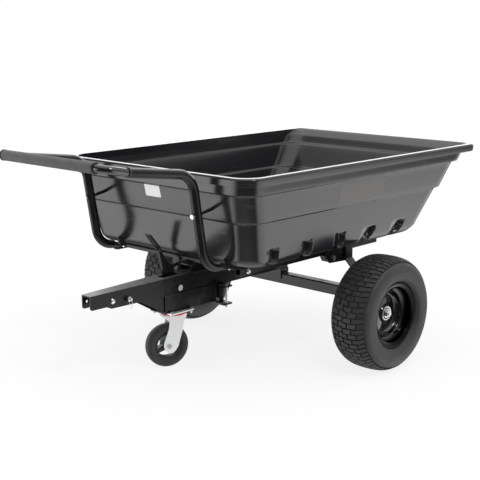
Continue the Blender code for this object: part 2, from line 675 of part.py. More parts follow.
def add_lever(parent, chassis):
    """Latch lever with a plate at its pivot and a flat arm, its return spring and its pivot bolt."""
    place = (0, LEVER_PIVOT_Y, LEVER_PIVOT_Z)
    plate = [
        (-0.0120, -0.0120), (-0.0330, 0.0200), (-0.0470, 0.0560), (-0.0560, 0.0950), (-0.0660, 0.1330),
        (-0.0780, 0.1510), (-0.0740, 0.1570), (-0.0620, 0.1450), (-0.0330, 0.0980), (-0.0120, 0.0790),
        (0.0140, 0.0785), (0.0140, 0.0705), (0.0010, 0.0640), (0.0120, 0.0200), (0.0120, -0.0120),
    ]
    arm = [(-0.0640, 0.1300), (-0.0700, 0.1450), (-0.1120, 0.1950), (-0.1082, 0.1982), (-0.0660, 0.1490),
           (-0.0595, 0.1330)]
    lever = finish_mesh("latch_lever", prism(plate, LEVER_PLATE, "x"), "frame_paint", parent, place)
    combine(lever, "lever_arm", prism(arm, LEVER_ARM_WIDTH, "x"), place, "UNION")
    cut(lever, "lever_bore", drill(LEVER_BOLT_RADIUS + GAP), place)
    head_place = (BAR_HALF_X + GAP, LEVER_PIVOT_Y, LEVER_PIVOT_Z)
    add_bolt("lever_bolt", chassis, head_place, LEVER_BOLT_RADIUS, 0.0740, 0.0115, 0.0060)
    first, last = SPRING_X
    steps = 12
    count = SPRING_TURNS * steps
    path = []
    for i in range(count + 1):
        turn = 2 * math.pi * i / steps
        path.append((first + (last - first) * i / count, SPRING_RADIUS * math.cos(turn),
                     SPRING_RADIUS * math.sin(turn)))
    path.append((last, SPRING_RADIUS, 0.0120))
    finish_mesh("lever_spring", sweep(path, SPRING_WIRE, 6), "zinc", parent, place, smooth=True)


def add_hitch_pin(parent):
    """The pin through the third hole, with a wire ring hanging from its cross-drilled head."""
    y, z = HITCH_HOLE_YZ[2]
    ring_x, ring_radius, wire = 0.0435, 0.0150, 0.0011
    profile = [(-0.0420, 0.0040), (-0.0400, PIN_RADIUS), (0.0335, PIN_RADIUS), (0.0335, 0.0085)]
    profile += [(0.0385, 0.0085), (0.0395, 0.0060), (0.0400, 0.0035), (0.0475, 0.0035)]
    pin = finish_mesh("hitch_pin", turned_x(profile, 16), "zinc", parent, (0, y, z), smooth=True)
    cut(pin, "ring_bore", prism(circle(0.0021, 10), 0.02, "y"), (ring_x, y, z - 0.0002))
    profile = [(a, ring_radius + b) for a, b in circle(wire, 6)]
    finish_mesh("hitch_pin_ring", revolve_x(profile, 24), "zinc", parent, (ring_x, y, z - ring_radius),
                smooth=True)


# Axle and main wheels

def add_axle(parent):
    """Square beam, saddle under the tow bar, drop plates and stub axles."""
    half = BEAM_SIZE / 2
    beam_z = BEAM_TOP_Z - half
    outer = rounded_rect(half, half, 0.004)
    inner = rounded_rect(half - BEAM_WALL, half - BEAM_WALL, 0.002)
    finish_mesh("axle_beam", hollow_prism(outer, inner, BEAM_HALF_X * 2, "x"), "frame_paint", parent,
                (0, 0, beam_z))
    low, high, front = BEAM_TOP_Z + GAP, BAR_BOTTOM_Z - GAP, -half - GAP
    saddle = [(front - 0.004, 0.252), (front, 0.252), (front, low), (half, low), (half, high)]
    saddle.append((front - 0.004, high))
    finish_mesh("axle_saddle", prism(saddle, 0.074, "x"), "frame_paint", parent)
    plate_x = BEAM_HALF_X + GAP + 0.003
    for side, sign in (("left", 1), ("right", -1)):
        outline = [(-0.020, 0.070), (-0.020, -0.013), (-0.012, -0.023)]
        outline += [(-y, z) for y, z in reversed(outline)]
        plate = finish_mesh(f"spindle_plate_{side}", prism(outline, 0.006, "x"), "frame_paint", parent,
                            (sign * plate_x, 0, WHEEL_RADIUS))
        bore = drill(SPINDLE_RADIUS + GAP, 24)
        cut(plate, f"spindle_bore_{side}", bore, (sign * plate_x, 0, WHEEL_RADIUS))
        shoulder_x = WHEEL_X + HUB_OUTER_X + 0.0004
        end = SPINDLE_END_RADIUS
        profile = [(0.3450, SPINDLE_RADIUS), (shoulder_x, SPINDLE_RADIUS), (shoulder_x, end)]
        profile += [(0.5195, end), (0.5210, end - 0.002)]
        finish_mesh(f"stub_axle_{side}", turned_x(profile, 24, sign=sign), "zinc", parent,
                    (0, 0, WHEEL_RADIUS), smooth=True)
        nut_x = shoulder_x + GAP
        bore = end + GAP
        profile = [(0.0, bore), (0.0, 0.0168), (0.0020, 0.0168), (0.0021, 0.0135), (0.0105, 0.0135)]
        profile += [(0.0120, 0.0115), (0.0120, bore)]
        finish_mesh(f"hub_nut_{side}", revolve_x(profile, 24, sign=sign), "zinc", parent,
                    (sign * nut_x, 0, WHEEL_RADIUS), smooth=True)


def rim_profile():
    """Closed outline (x, radius) of the stepped deep-dish rim with its hub tube, outer side at +x."""
    wide, flange, bead = RIM_HALF_WIDTH, RIM_FLANGE_RADIUS, BEAD_RADIUS
    bore = HUB_RADIUS - HUB_WALL
    return [
        (wide - 0.0060, bead), (wide - 0.0055, flange - 0.003), (wide - 0.002, flange),
        (wide, flange - 0.003), (wide - 0.002, flange - 0.014), (wide - 0.008, bead - 0.004),
        (0.040, bead - 0.006), (0.030, 0.080), (0.020, 0.074), (0.016, 0.070), (0.009, 0.040), (0.010, 0.030),
        (HUB_OUTER_X, HUB_RADIUS), (HUB_OUTER_X, bore), (HUB_INNER_X, bore), (HUB_INNER_X, HUB_RADIUS),
        (0.003, HUB_RADIUS + 0.003), (0.003, 0.040), (0.010, 0.071), (-0.028, 0.0740), (-0.045, bead - 0.006),
        (-wide + 0.008, bead - 0.004), (-wide + 0.002, flange - 0.014), (-wide, flange - 0.003),
        (-wide + 0.002, flange), (-wide + 0.0055, flange - 0.003), (-wide + 0.0060, bead),
        (-0.044, bead - 0.0025), (-0.030, 0.0775), (0.018, 0.0775), (0.029, 0.0835), (0.040, bead - 0.0025),
    ]


def tyre_profile():
    """Closed outline (x, radius) of a tyre: crown, shoulders, sidewalls and the hollow inside."""
    half = TYRE_WIDTH / 2
    top = WHEEL_RADIUS
    wall = TYRE_WALL
    bead_x = RIM_HALF_WIDTH - 0.0065
    bead_low = BEAD_RADIUS + 0.0008
    right = [(0.0, top), (half * 0.45, top - 0.0015), (half * 0.72, top - 0.008), (half * 0.90, top - 0.020),
             (half * 0.985, top - 0.036), (half, top - 0.052), (half * 0.955, top - 0.072),
             (bead_x, bead_low + 0.014), (bead_x, bead_low)]
    right += [(bead_x - 0.012, bead_low), (half - wall, top - 0.056), (half * 0.80 - wall, top - 0.024),
              (0.0, top - 0.0105)]
    return right + [(-x, r) for x, r in reversed(right[1:-1])]


def add_wheel(side, sign, parent):
    """A main wheel: tyre, rim and the bush that runs on the stub axle."""
    place = (sign * WHEEL_X, 0, WHEEL_RADIUS)
    lowest = -math.pi / 2 - LEAN
    finish_mesh(f"tyre_{side}", revolve_x(tyre_profile(), 40, lowest, sign), "tyre_rubber", parent, place,
                smooth=True)
    finish_mesh(f"rim_{side}", revolve_x(rim_profile(), 28, sign=sign), "rim_paint", parent, place,
                smooth=True)
    outer, inner = HUB_RADIUS - HUB_WALL - GAP, SPINDLE_RADIUS + GAP
    profile = [(HUB_INNER_X, inner), (HUB_INNER_X, outer), (HUB_OUTER_X, outer), (HUB_OUTER_X, inner)]
    finish_mesh(f"hub_bush_{side}", revolve_x(profile, 24, sign=sign), "core_plastic", parent, place,
                smooth=True)


# Caster

def caster_axle_place():
    """Centre of the caster's wheel in the level frame, so that its tread meets the ground."""
    x = CASTER_TRAIL * math.cos(CASTER_HEADING)
    y = CASTER_Y + CASTER_TRAIL * math.sin(CASTER_HEADING)
    tip = math.sin(LEAN) * math.cos(CASTER_HEADING)
    drop = CASTER_RADIUS * math.sqrt(1 - tip * tip)
    z = WHEEL_RADIUS + (drop - WHEEL_RADIUS - y * math.sin(LEAN)) / math.cos(LEAN)
    return x, y, z


def turn_caster(piece):
    """Turn a caster piece, built with its axle along X, to the heading in the photo."""
    piece.rotation_euler = (0.0, 0.0, CASTER_HEADING + math.pi / 2)


def add_caster_mount(parent):
    """Top plate, dust seal and kingpin."""
    outline = rounded_rect(CASTER_PLATE_HALF, CASTER_PLATE_HALF, 0.006)
    middle = CASTER_PLATE_TOP - CASTER_PLATE_THICKNESS / 2
    finish_mesh("caster_plate", prism(outline, CASTER_PLATE_THICKNESS, "z"), "zinc", parent,
                (0, CASTER_Y, middle))
    under = CASTER_PLATE_TOP - CASTER_PLATE_THICKNESS - FORK_TOP_Z - GAP
    seal = [(0.012, GAP), (0.042, GAP), (0.045, 0.0035), (0.042, under), (0.012, under)]
    rings = [[(r * a, r * b, z) for r, z in seal] for a, b in circle(1.0, 28)]
    finish_mesh("caster_seal", loft(rings, closed_tube=True), "seal_red", parent, (0, CASTER_Y, FORK_TOP_Z),
                smooth=True)
    stations = ((-0.0110, 0.0080), (-0.0090, 0.0105), (-0.0044, 0.0105), (-0.0042, 0.0072), (under, 0.0072))
    rings = [[(a, b, z) for a, b in circle(r, 16)] for z, r in stations]
    finish_mesh("caster_kingpin", loft(rings), "zinc", parent, (0, CASTER_Y, FORK_TOP_Z), smooth=True)


def add_caster_fork(parent):
    """The pressed fork and the axle that is riveted into it."""
    axle_place = caster_axle_place()
    drop = FORK_TOP_Z - axle_place[2]
    inner = CASTER_WIDTH / 2 + 0.0030
    outer = inner + FORK_THICKNESS
    bottom = -drop - 0.030
    u_shape = [(-outer, bottom), (-inner, bottom), (-inner, -0.0040), (inner, -0.0040), (inner, bottom),
               (outer, bottom), (outer, 0.0), (-outer, 0.0)]
    top_place = (0, CASTER_Y, FORK_TOP_Z)
    fork = finish_mesh("caster_fork", prism(u_shape, 0.130, "y"), "zinc", parent, top_place)
    turn_caster(fork)
    front = [(0.042, 0.010), (0.042, -0.0080), (0.030, -0.0300), (0.0267, -0.0570), (0.0154, -0.0940)]
    foot = [(0.0106, -0.1110), (0.0014, -0.1260), (-0.0090, -0.1350), (-0.0240, -0.1360), (-0.0361, -0.1270)]
    back = [(-0.0425, -0.1130), (-0.0419, -0.1003), (-0.0353, -0.0804), (-0.0241, -0.0507)]
    back += [(-0.0200, -0.0240), (-0.0400, -0.0080), (-0.0400, 0.010)]
    outline = front + foot + back
    turn_caster(combine(fork, "fork_side_shape", prism(outline, 0.10, "x"), top_place, "INTERSECT"))
    cut(fork, "kingpin_bore", prism(circle(0.0080, 16), 0.02, "z"), top_place)
    turn_caster(cut(fork, "caster_axle_bore", drill(CASTER_AXLE_RADIUS + GAP), axle_place))
    head, face = 0.0080, outer + GAP
    profile = [(-face - 0.004, head), (-face, head), (-face, CASTER_AXLE_RADIUS), (face, CASTER_AXLE_RADIUS),
               (face, head), (face + 0.004, head)]
    turn_caster(finish_mesh("caster_axle", turned_x(profile, 12), "zinc", parent, axle_place))


def add_caster_wheel(parent):
    """The caster's spoked core and its solid tyre."""
    place = caster_axle_place()
    rim_half, rim_low, rim_high = 0.014, 0.0400, 0.0440
    outline = [(-rim_half, rim_low), (-rim_half, rim_high), (rim_half, rim_high), (rim_half, rim_low)]
    ring = revolve_x(outline, 32)
    core = finish_mesh("caster_core", ring, "core_plastic", parent, place)
    outline = []
    for i in range(CASTER_SPOKES):
        middle = FIRST_SPOKE + 2 * math.pi * i / CASTER_SPOKES
        for turn, radius in ((-0.80, 0.0130), (-0.20, 0.0420), (0.20, 0.0420), (0.80, 0.0130)):
            outline.append((radius * math.cos(middle + turn), radius * math.sin(middle + turn)))
    star = combine(core, "caster_spokes", prism(outline, 0.024, "x"), place, "UNION")
    bore = cut(core, "caster_core_bore", drill(CASTER_AXLE_RADIUS + GAP), place)
    half, top = CASTER_WIDTH / 2, CASTER_RADIUS
    low = rim_high + 0.0006
    tread = [(-rim_half, low), (-half, 0.0490), (-half, top - 0.006), (-half * 0.72, top - 0.0012)]
    tread += [(0.0, top)] + [(-x, r) for x, r in reversed(tread)]
    lowest = -math.pi / 2 - math.atan(math.tan(LEAN) * math.cos(CASTER_HEADING + math.pi / 2))
    tyre = finish_mesh("caster_tyre", revolve_x(tread, 36, lowest), "tyre_rubber", parent, place, smooth=True)
    for piece in (core, star, bore, tyre):
        turn_caster(piece)


def build():
    """Make the empties that carry the moving groups, then every piece."""
    lean = make_empty("trailer_lean", None, (0.0, 0.0, WHEEL_RADIUS))
    lean.location = (0.0, AXLE_Y, WHEEL_RADIUS)
    lean.rotation_euler = (LEAN, 0.0, 0.0)
    tilt = make_empty("tub_tilt", lean, (0.0, 0.0, WHEEL_RADIUS))
    latch = make_empty("lever_pivot", lean, (0.0, LEVER_PIVOT_Y, LEVER_PIVOT_Z))
    pin = make_empty("pin_slide", lean, (0.0, *HITCH_HOLE_YZ[2]))
    swivel = make_empty("caster_swivel", lean, (0.0, CASTER_Y, FORK_TOP_Z))
    roll = make_empty("caster_roll", swivel, caster_axle_place())
    add_tub(tilt)
    add_tilt_frame(tilt)
    add_handle(tilt)
    add_tow_bar(lean)
    add_clamp(lean)
    add_lever(latch, lean)
    add_hitch_pin(pin)
    add_axle(lean)
    for side, sign in (("left", 1), ("right", -1)):
        spin = make_empty(f"wheel_spin_{side}", lean, (sign * WHEEL_X, 0.0, WHEEL_RADIUS))
        add_wheel(side, sign, spin)
    add_caster_mount(lean)
    add_caster_fork(swivel)
    add_caster_wheel(roll)


clear_scene()
MADE = make_materials()
build()
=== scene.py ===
# %% [markdown]
# # A garden dump trailer, dressed for the studio
# The construction already exists as a imported CAD model: every rail, bolt and joint is in its place.
# This script adds what the eye judges: a finely rounded tub, turf tyres with real tread blocks, turned
# rims, bent tubes, and a procedural finish for every surface. It loads the model and never moves a part
# of it.

# %% Load the frame
import json
from math import atan2, ceil, copysign, cos, degrees, exp, pi, radians, sin, tan

import bmesh
import bpy
from mathutils import Matrix, Vector


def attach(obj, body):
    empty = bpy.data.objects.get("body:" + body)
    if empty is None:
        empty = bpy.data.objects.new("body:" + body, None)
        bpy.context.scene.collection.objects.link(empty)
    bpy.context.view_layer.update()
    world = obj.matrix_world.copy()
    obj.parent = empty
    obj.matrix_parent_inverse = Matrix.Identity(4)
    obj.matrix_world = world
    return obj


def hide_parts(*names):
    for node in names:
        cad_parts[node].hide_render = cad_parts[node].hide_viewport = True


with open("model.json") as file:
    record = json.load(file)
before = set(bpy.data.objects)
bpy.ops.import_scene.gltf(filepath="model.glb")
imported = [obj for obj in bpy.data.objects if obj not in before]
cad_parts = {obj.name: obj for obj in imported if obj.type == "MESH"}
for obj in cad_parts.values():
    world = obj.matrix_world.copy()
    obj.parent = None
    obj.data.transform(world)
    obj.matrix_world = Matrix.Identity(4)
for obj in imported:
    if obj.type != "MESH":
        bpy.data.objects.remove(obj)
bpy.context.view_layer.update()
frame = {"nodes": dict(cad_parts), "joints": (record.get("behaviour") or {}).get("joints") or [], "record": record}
joints = {joint["name"]: joint for joint in frame["joints"]}

# %% [markdown]
# ## The trailer's own level frame
# The trailer stands a little nose-down on its caster, so nothing on it is quite level. It is much
# easier to model in a frame that leans with it: x from the centre plane, y from the axle line, z above
# the wheels' lowest point. One matrix carries that frame into the world. Its numbers come from two
# joints of the CAD model, so the two can't drift apart.

# %% Level frame
AXLE = Vector(joints["tub_tilt"]["pos_m"])
SWIVEL_AXIS = Vector(joints["caster_swivel"]["axis"])
LEAN = atan2(-SWIVEL_AXIS.y, SWIVEL_AXIS.z)
WHEEL_RADIUS = AXLE.z
TURN = Matrix.Rotation(LEAN, 4, "X")
LEVEL = Matrix.Translation(AXLE) @ TURN @ Matrix.Translation((0, 0, -WHEEL_RADIUS))
print("the trailer leans by", round(degrees(LEAN), 2), "degrees")

# %% [markdown]
# ## Camera
# The picture was taken with a short telephoto lens from the front left. The lens, the position and the
# angles below were fitted to the straight edges and the wheel outlines of the photograph, in the
# trailer's level frame. Depth of field stays off, as everything is sharp.

# %% Camera
AZIMUTH = radians(43.26)
PITCH = radians(11.85)
ROLL = radians(-0.136)
EYE = Vector((2.597, -2.968, 1.220))

axes = Matrix.Rotation(AZIMUTH, 4, "Z") @ Matrix.Rotation(pi / 2 - PITCH, 4, "X")
axes = axes @ Matrix.Rotation(ROLL, 4, "Z")


def stand(name, data):
    """Put a camera, a mesh or a lamp into the scene as an object."""
    made = bpy.data.objects.new(name, data)
    bpy.context.scene.collection.objects.link(made)
    return made


lens = bpy.data.cameras.new("studio_camera")
lens.lens = 79.92
lens.sensor_width = 36
camera = stand("studio_camera", lens)
camera.matrix_world = Matrix.Translation(LEVEL @ EYE) @ TURN @ axes
bpy.context.scene.camera = camera
print("camera at", [round(value, 3) for value in camera.matrix_world.translation])

# %% [markdown]
# ## Shader maths as sums
# Procedural materials are sums of noises and masks. Wiring each Math node by hand hides the idea, so a
# small class wraps one output socket and turns ordinary arithmetic into Math nodes. A second class is a
# node tree with one method that adds any other node, and a third is one finish: such a tree round a
# Principled shader. The studio's dome is a tree of the second kind.

# %% Wire, Nodes and Finish
class Wire:
    """An output socket that can be added, subtracted and multiplied like a number."""

    def __init__(self, nodes, socket):
        self.nodes = nodes
        self.socket = socket

    def math(self, operation, *values):
        return self.nodes.node("Math", {"operation": operation}, dict(enumerate(values)))

    def __add__(self, other):
        return self.math("ADD", self, other)

    __radd__ = __add__

    def __sub__(self, other):
        return self.math("SUBTRACT", self, other)

    def __rsub__(self, other):
        return self.math("SUBTRACT", other, self)

    def __mul__(self, other):
        return self.math("MULTIPLY", self, other)

    __rmul__ = __mul__

    def most(self, other):
        """The larger of the two."""
        return self.math("MAXIMUM", self, other)


class Nodes:
    """A node tree, and one method that adds any node to it."""

    def __init__(self, tree):
        self.tree = tree

    def plug(self, socket, value):
        """Give a socket a constant or a wire."""
        if isinstance(value, Wire):
            self.tree.links.new(value.socket, socket)
        elif isinstance(value, tuple) and len(value) == 3 and socket.type == "RGBA":
            socket.default_value = (*value, 1.0)
        else:
            socket.default_value = value

    def node(self, kind, settings, sockets, output=0):
        """Add a node: its type, its settings, the values or wires of its sockets, and the output wanted."""
        made = self.tree.nodes.new("ShaderNode" + kind)
        for name, value in settings.items():
            setattr(made, name, value)
        for name, value in sockets.items():
            self.plug(made.inputs[name], value)
        return Wire(self, made.outputs[output])

    def vector(self, operation, first, second=None, output="Value"):
        """A Vector Math node; most of those used here give a number."""
        sockets = {0: first} if second is None else {0: first, 1: second}
        return self.node("VectorMath", {"operation": operation}, sockets, output)

    def band(self, value, low, high):
        """0 at low and 1 at high, smooth in between and level beyond them."""
        settings = {"interpolation_type": "SMOOTHSTEP"}
        return self.node("MapRange", settings, {"Value": value, "From Min": low, "From Max": high})


class Finish(Nodes):
    """A new Principled material and its node tree."""

    def __init__(self, name, colour, roughness, metallic=0.0, **constants):
        self.name = name
        self.material = bpy.data.materials.new(name)
        self.material.use_nodes = True
        super().__init__(self.material.node_tree)
        self.shader = self.tree.nodes["Principled BSDF"]
        constants.update(Base_Color=colour, Roughness=roughness, Metallic=metallic)
        for socket, value in constants.items():
            self.set(socket.replace("_", " "), value)
        self.place = self.node("TexCoord", {}, {}, "Object")

    def set(self, socket, value):
        """Give one of the shader's sockets a constant or a wire."""
        self.plug(self.shader.inputs[socket], value)

    def noise(self, scale, detail=3.0, place=None):
        """Soft noise between 0 and 1, with features of about 1/scale metres."""
        sockets = {"Vector": place or self.place, "Scale": scale, "Detail": detail}
        return self.node("TexNoise", {}, sockets, "Fac")

    def blend(self, factor, first, second):
        """One colour or the other, by a factor from 0 to 1."""
        return self.node("Mix", {"data_type": "RGBA"}, {0: factor, 6: first, 7: second}, 2)

    def dress(self, colour, roughness, height, distance, strength):
        """Give the shader a colour, a roughness and a relief: a height in units of distance."""
        self.set("Base Color", colour)
        self.set("Roughness", roughness)
        relief = {"Height": height, "Distance": distance, "Strength": strength}
        self.set("Normal", self.node("Bump", {}, relief))
        return self


# %% [markdown]
# ## Moulded tub
# The tub is rotationally moulded polyethylene. The mould is polished, so the skin is a satin black that
# mirrors dark things close to it, such as the handle's legs, but is never quite flat: it has a very fine
# grain and slow waves where the plastic shrank. Handling leaves faint pale rubs, so the roughness
# wanders too. Waves go to the bump at two scales, and the rubs lift both colour and roughness a little.

# %% Tub plastic
def tub_plastic():
    skin = Finish("tub_plastic", (0.021, 0.021, 0.022), 0.18)
    waves = skin.noise(7.0, 2.0)
    grain = skin.noise(650.0, 2.0)
    drawn_out = skin.node("Mapping", {}, {"Vector": skin.place, "Scale": (1.0, 0.35, 2.4)})
    rubs = skin.noise(26.0, 6.0, drawn_out)
    worn = skin.band(rubs, 0.56, 0.78)
    colour = skin.blend(worn * 0.5, (0.013, 0.013, 0.0142), (0.028, 0.028, 0.029))
    roughness = 0.140 + waves * 0.06 + worn * 0.09 + grain * 0.03
    return skin.dress(colour, roughness, waves + grain * 0.022, 0.0012, 0.35)


# %% [markdown]
# ## Steel finishes
# Three finishes cover the metal. The frame is powder coated: black, half matt, with an orange-peel
# texture of about two millimetres and a little pale dust here and there; the faces that look up are also
# blended to pale grey, a painted sheen that stands in for the bright backdrop they mirror. The rims and
# the handle's loop are wet-painted and much glossier, so they get a clear coat, which runs out towards
# the rim's edge. Fasteners and the caster's sheet parts are zinc plated: their tone and roughness vary
# from one patch to the next, with the slight blue and straw tints of the passivation.

# %% Frame paint, gloss paint, zinc
def frame_paint():
    coat = Finish("frame_paint", (0.009, 0.009, 0.0095), 0.24, Specular_IOR_Level=0.22)
    peel = coat.noise(420.0, 2.0)
    dust = coat.band(coat.noise(14.0, 5.0), 0.48, 0.80)
    faces = coat.node("TexCoord", {}, {}, "Normal")
    faces_up = coat.node("SeparateXYZ", {}, {0: faces}, "Z")
    # Faces that look up are blended towards pale grey: a painted sheen standing in for the bright backdrop they
    # mirror, varied a little by the dust noise.
    painted_top_sheen = coat.band(faces_up, 0.55, 0.96) * (0.75 + dust * 0.25)
    paint = coat.blend(dust * 0.6, (0.0065, 0.0065, 0.0070), (0.015, 0.0145, 0.014))
    colour = coat.blend(painted_top_sheen, paint, (0.250, 0.250, 0.247))
    roughness = 0.22 + dust * 0.12 + peel * 0.04 + painted_top_sheen * 0.2
    return coat.dress(colour, roughness, peel, 0.0002, 0.35)


def gloss_paint(name):
    coat = Finish(name, (0.006, 0.006, 0.0065), 0.16, Coat_Weight=0.45, Coat_Roughness=0.05)
    flow = coat.noise(60.0, 2.0)
    dust = coat.band(coat.noise(30.0, 6.0), 0.52, 0.85)
    colour = coat.blend(dust * 0.5, (0.0055, 0.0055, 0.006), (0.018, 0.017, 0.017))
    roughness = 0.13 + flow * 0.06 + dust * 0.16
    return coat.dress(colour, roughness, flow, 0.0003, 0.35)


def spun_paint():
    """The rim's paint. Its rolled edge has no clear coat and mirrors only as much as its dark colour."""
    coat = gloss_paint("rim_paint")
    from_axle = coat.vector("SUBTRACT", coat.place, (0, AXLE.y, AXLE.z), "Vector")
    radius = coat.vector("LENGTH", coat.vector("MULTIPLY", from_axle, (0, 1, 1), "Vector"))
    edge = coat.band(radius, 0.0800, 0.0930)
    coat.set("Metallic", edge)
    coat.set("Coat Weight", 0.40 - edge * 0.40)
    return coat


def zinc_plate():
    plate = Finish("zinc", (0.62, 0.63, 0.65), 0.28, 1.0)
    patches = plate.noise(110.0, 4.0)
    tint = plate.band(patches, 0.35, 0.68)
    drawn = plate.noise(900.0, 2.0)
    colour = plate.blend(tint, (0.66, 0.655, 0.63), (0.55, 0.57, 0.61))
    roughness = 0.20 + patches * 0.16 + drawn * 0.05
    return plate.dress(colour, roughness, drawn, 0.0001, 0.5)


# The caster's plate and fork: a pale, mostly diffuse copy of the zinc. Its near-white colour is a painted
# reflection of the bright studio, in place of the plating's own mirror.
def zinc_sheet_painted_sheen():
    sheet = Finish("zinc_sheet_painted_sheen", (0.90, 0.91, 0.92), 0.34, 0.20)
    patches = sheet.noise(45.0, 4.0)
    colour = sheet.blend(patches, (0.96, 0.96, 0.96), (0.86, 0.88, 0.90))
    roughness = 0.28 + patches * 0.14
    return sheet.dress(colour, roughness, sheet.noise(700.0, 2.0), 0.0001, 0.4)


# %% [markdown]
# ## Rubber, plastic and paper
# New tyre rubber is nearly black but scatters light widely, so it reads as dark grey, and road dust
# settles on it in a thin uneven film. The tread is a little darker and coarser than the sidewall. The
# grip is a foamed sleeve, the palest and dullest of the black parts. The red seal, the two stickers and
# the caster's core need little more than a fine grain.

# %% Rubber, plastic and paper
def tyre_rubber():
    rubber = Finish("tyre_rubber", (0.030, 0.030, 0.031), 0.62, Specular_IOR_Level=0.4)
    grain = rubber.noise(500.0, 3.0)
    film = rubber.band(rubber.noise(18.0, 6.0), 0.40, 0.75)
    colour = rubber.blend(film * 0.7, (0.026, 0.026, 0.0275), (0.048, 0.047, 0.046))
    roughness = 0.52 + film * 0.16 + grain * 0.08
    return rubber.dress(colour, roughness, grain, 0.0003, 0.5)


def tread_rubber():
    rubber = Finish("tread_rubber", (0.018, 0.018, 0.019), 0.66, Specular_IOR_Level=0.4)
    grain = rubber.noise(380.0, 4.0)
    film = rubber.band(rubber.noise(40.0, 5.0), 0.42, 0.72)
    colour = rubber.blend(film * 0.7, (0.015, 0.015, 0.016), (0.030, 0.030, 0.030))
    roughness = 0.55 + film * 0.15 + grain * 0.1
    return rubber.dress(colour, roughness, grain, 0.0004, 0.6)


def grip_rubber():
    foam = Finish("grip_rubber", (0.170, 0.170, 0.172), 0.72, Specular_IOR_Level=0.3)
    cells = foam.node("TexVoronoi", {}, {"Vector": foam.place, "Scale": 900.0}, "Distance")
    wear = foam.band(foam.noise(22.0, 5.0), 0.40, 0.75)
    colour = foam.blend(wear, (0.098, 0.098, 0.100), (0.124, 0.124, 0.123))
    roughness = 0.66 + wear * 0.12
    return foam.dress(colour, roughness, cells, 0.0005, 0.5)


def plain_skin(name, first, second, roughness, scale, detail, depth, strength):
    """A smooth skin whose colour and relief follow a fine grain."""
    skin = Finish(name, first, roughness)
    grain = skin.noise(scale, detail)
    return skin.dress(skin.blend(grain, first, second), roughness, grain, depth, strength)


def core_plastic():
    plastic = Finish("core_plastic", (0.016, 0.016, 0.017), 0.42)
    grain = plastic.noise(300.0, 3.0)
    colour = plastic.blend(grain, (0.0152, 0.0152, 0.0162), (0.0168, 0.0168, 0.0178))
    return plastic.dress(colour, 0.36 + grain * 0.14, grain, 0.0002, 0.5)


FINISHES = [
    tub_plastic(), frame_paint(), spun_paint(), gloss_paint("loop_paint"), zinc_plate(), zinc_sheet_painted_sheen(),
    tyre_rubber(), tread_rubber(), grip_rubber(), core_plastic(),
    plain_skin("seal_red", (0.52, 0.040, 0.030), (0.40, 0.028, 0.024), 0.42, 240.0, 3.0, 0.0002, 0.4),
    plain_skin("label_white", (0.88, 0.88, 0.87), (0.80, 0.80, 0.79), 0.5, 500.0, 4.0, 0.0001, 0.3),
    plain_skin("sticker_film", (0.056, 0.054, 0.050), (0.070, 0.068, 0.063), 0.34, 160.0, 3.0, 0.0001, 0.3),
]
MATERIALS = {finish.name: finish.material for finish in FINISHES}
print("finishes:", ", ".join(MATERIALS))

# %% [markdown]
# ## Dress the CAD nodes that stay
# Most steel pieces have the right shape already. Each takes the finish of its slot in the record, but the
# caster's plate and fork take a pale copy of the zinc whose colour is a painted reflection. A small bevel
# breaks the sharp edges, as the saw, the press and the paint do on the real part. The bevel is a
# modifier, so the CAD mesh under it isn't changed.

# %% CAD nodes
ROUND_NODES = ("hub_bush", "caster_seal", "caster_kingpin", "lever_spring", "hitch_pin", "stub_axle")
PLATED_SHEET = ("caster_plate", "caster_fork")
SHEET_EDGE = 0.0009
FASTENER_EDGE = 0.0006
SIDES = (("left", 1), ("right", -1))

slots = {row["node"]: row["material_slot"] for row in frame["record"]["subparts"]}
for name, node in frame["nodes"].items():
    node.data.materials.clear()
    # The caster's plate and fork take the pale zinc copy, whose white is a painted reflection.
    node.data.materials.append(MATERIALS["zinc_sheet_painted_sheen" if name in PLATED_SHEET else slots[name]])
    if name.startswith(ROUND_NODES):
        continue
    edge = node.modifiers.new("broken_edges", "BEVEL")
    edge.width = FASTENER_EDGE if "bolt" in name or "nut" in name else SHEET_EDGE
    edge.segments = 2
    edge.limit_method = "ANGLE"
    edge.angle_limit = radians(40)
    edge.harden_normals = True
print("dressed", len(frame["nodes"]), "CAD nodes")


# %% [markdown]
# ## Modelling helpers
# Almost everything on a trailer is a loft: a row of rings joined by faces. A turned part has the same
# outline at each angle, a bent tube the same circle at each point of its route, and the tub a rounded
# rectangle at each height. So one function joins rings, and short functions make the rings. Corners of
# outlines are rounded by a small quadratic curve instead of a bevel, which keeps the mesh regular.

# %% Lofts, turned parts and tubes
def loft(rings, closed=False, bm=None):
    """Join rings of points in order, and close the tube on itself or cap its ends."""
    bm = bm or bmesh.new()
    loops = [[bm.verts.new(point) for point in ring] for ring in rings]
    for low, high in zip(loops, loops[1:] + loops[:1] if closed else loops[1:]):
        for i in range(len(low)):
            j = (i + 1) % len(low)
            bm.faces.new((low[i], low[j], high[j], high[i]))
    if not closed:
        bm.faces.new(loops[0])
        bm.faces.new(loops[-1])
    return bm


def circle(radius, count):
    turns = [2 * pi * i / count for i in range(count)]
    return [(radius * cos(turn), radius * sin(turn)) for turn in turns]


def soften(corners, reach, steps=3, closed=False):
    """Round each corner of a line of points; reach is one number or one for each corner."""
    points = []
    count = len(corners)
    corners = [Vector(corner) for corner in corners]
    reaches = reach if isinstance(reach, list) else [reach] * count
    for i, here in enumerate(corners):
        if not closed and i in (0, count - 1):
            points.append(here)
            continue
        before, after = corners[i - 1], corners[(i + 1) % count]
        first = here + (before - here) * min(0.45, reaches[i] / (before - here).length)
        last = here + (after - here) * min(0.45, reaches[i] / (after - here).length)
        for k in range(steps + 1):
            t = k / steps
            points.append(first * (1 - t) ** 2 + here * 2 * t * (1 - t) + last * t * t)
    return points


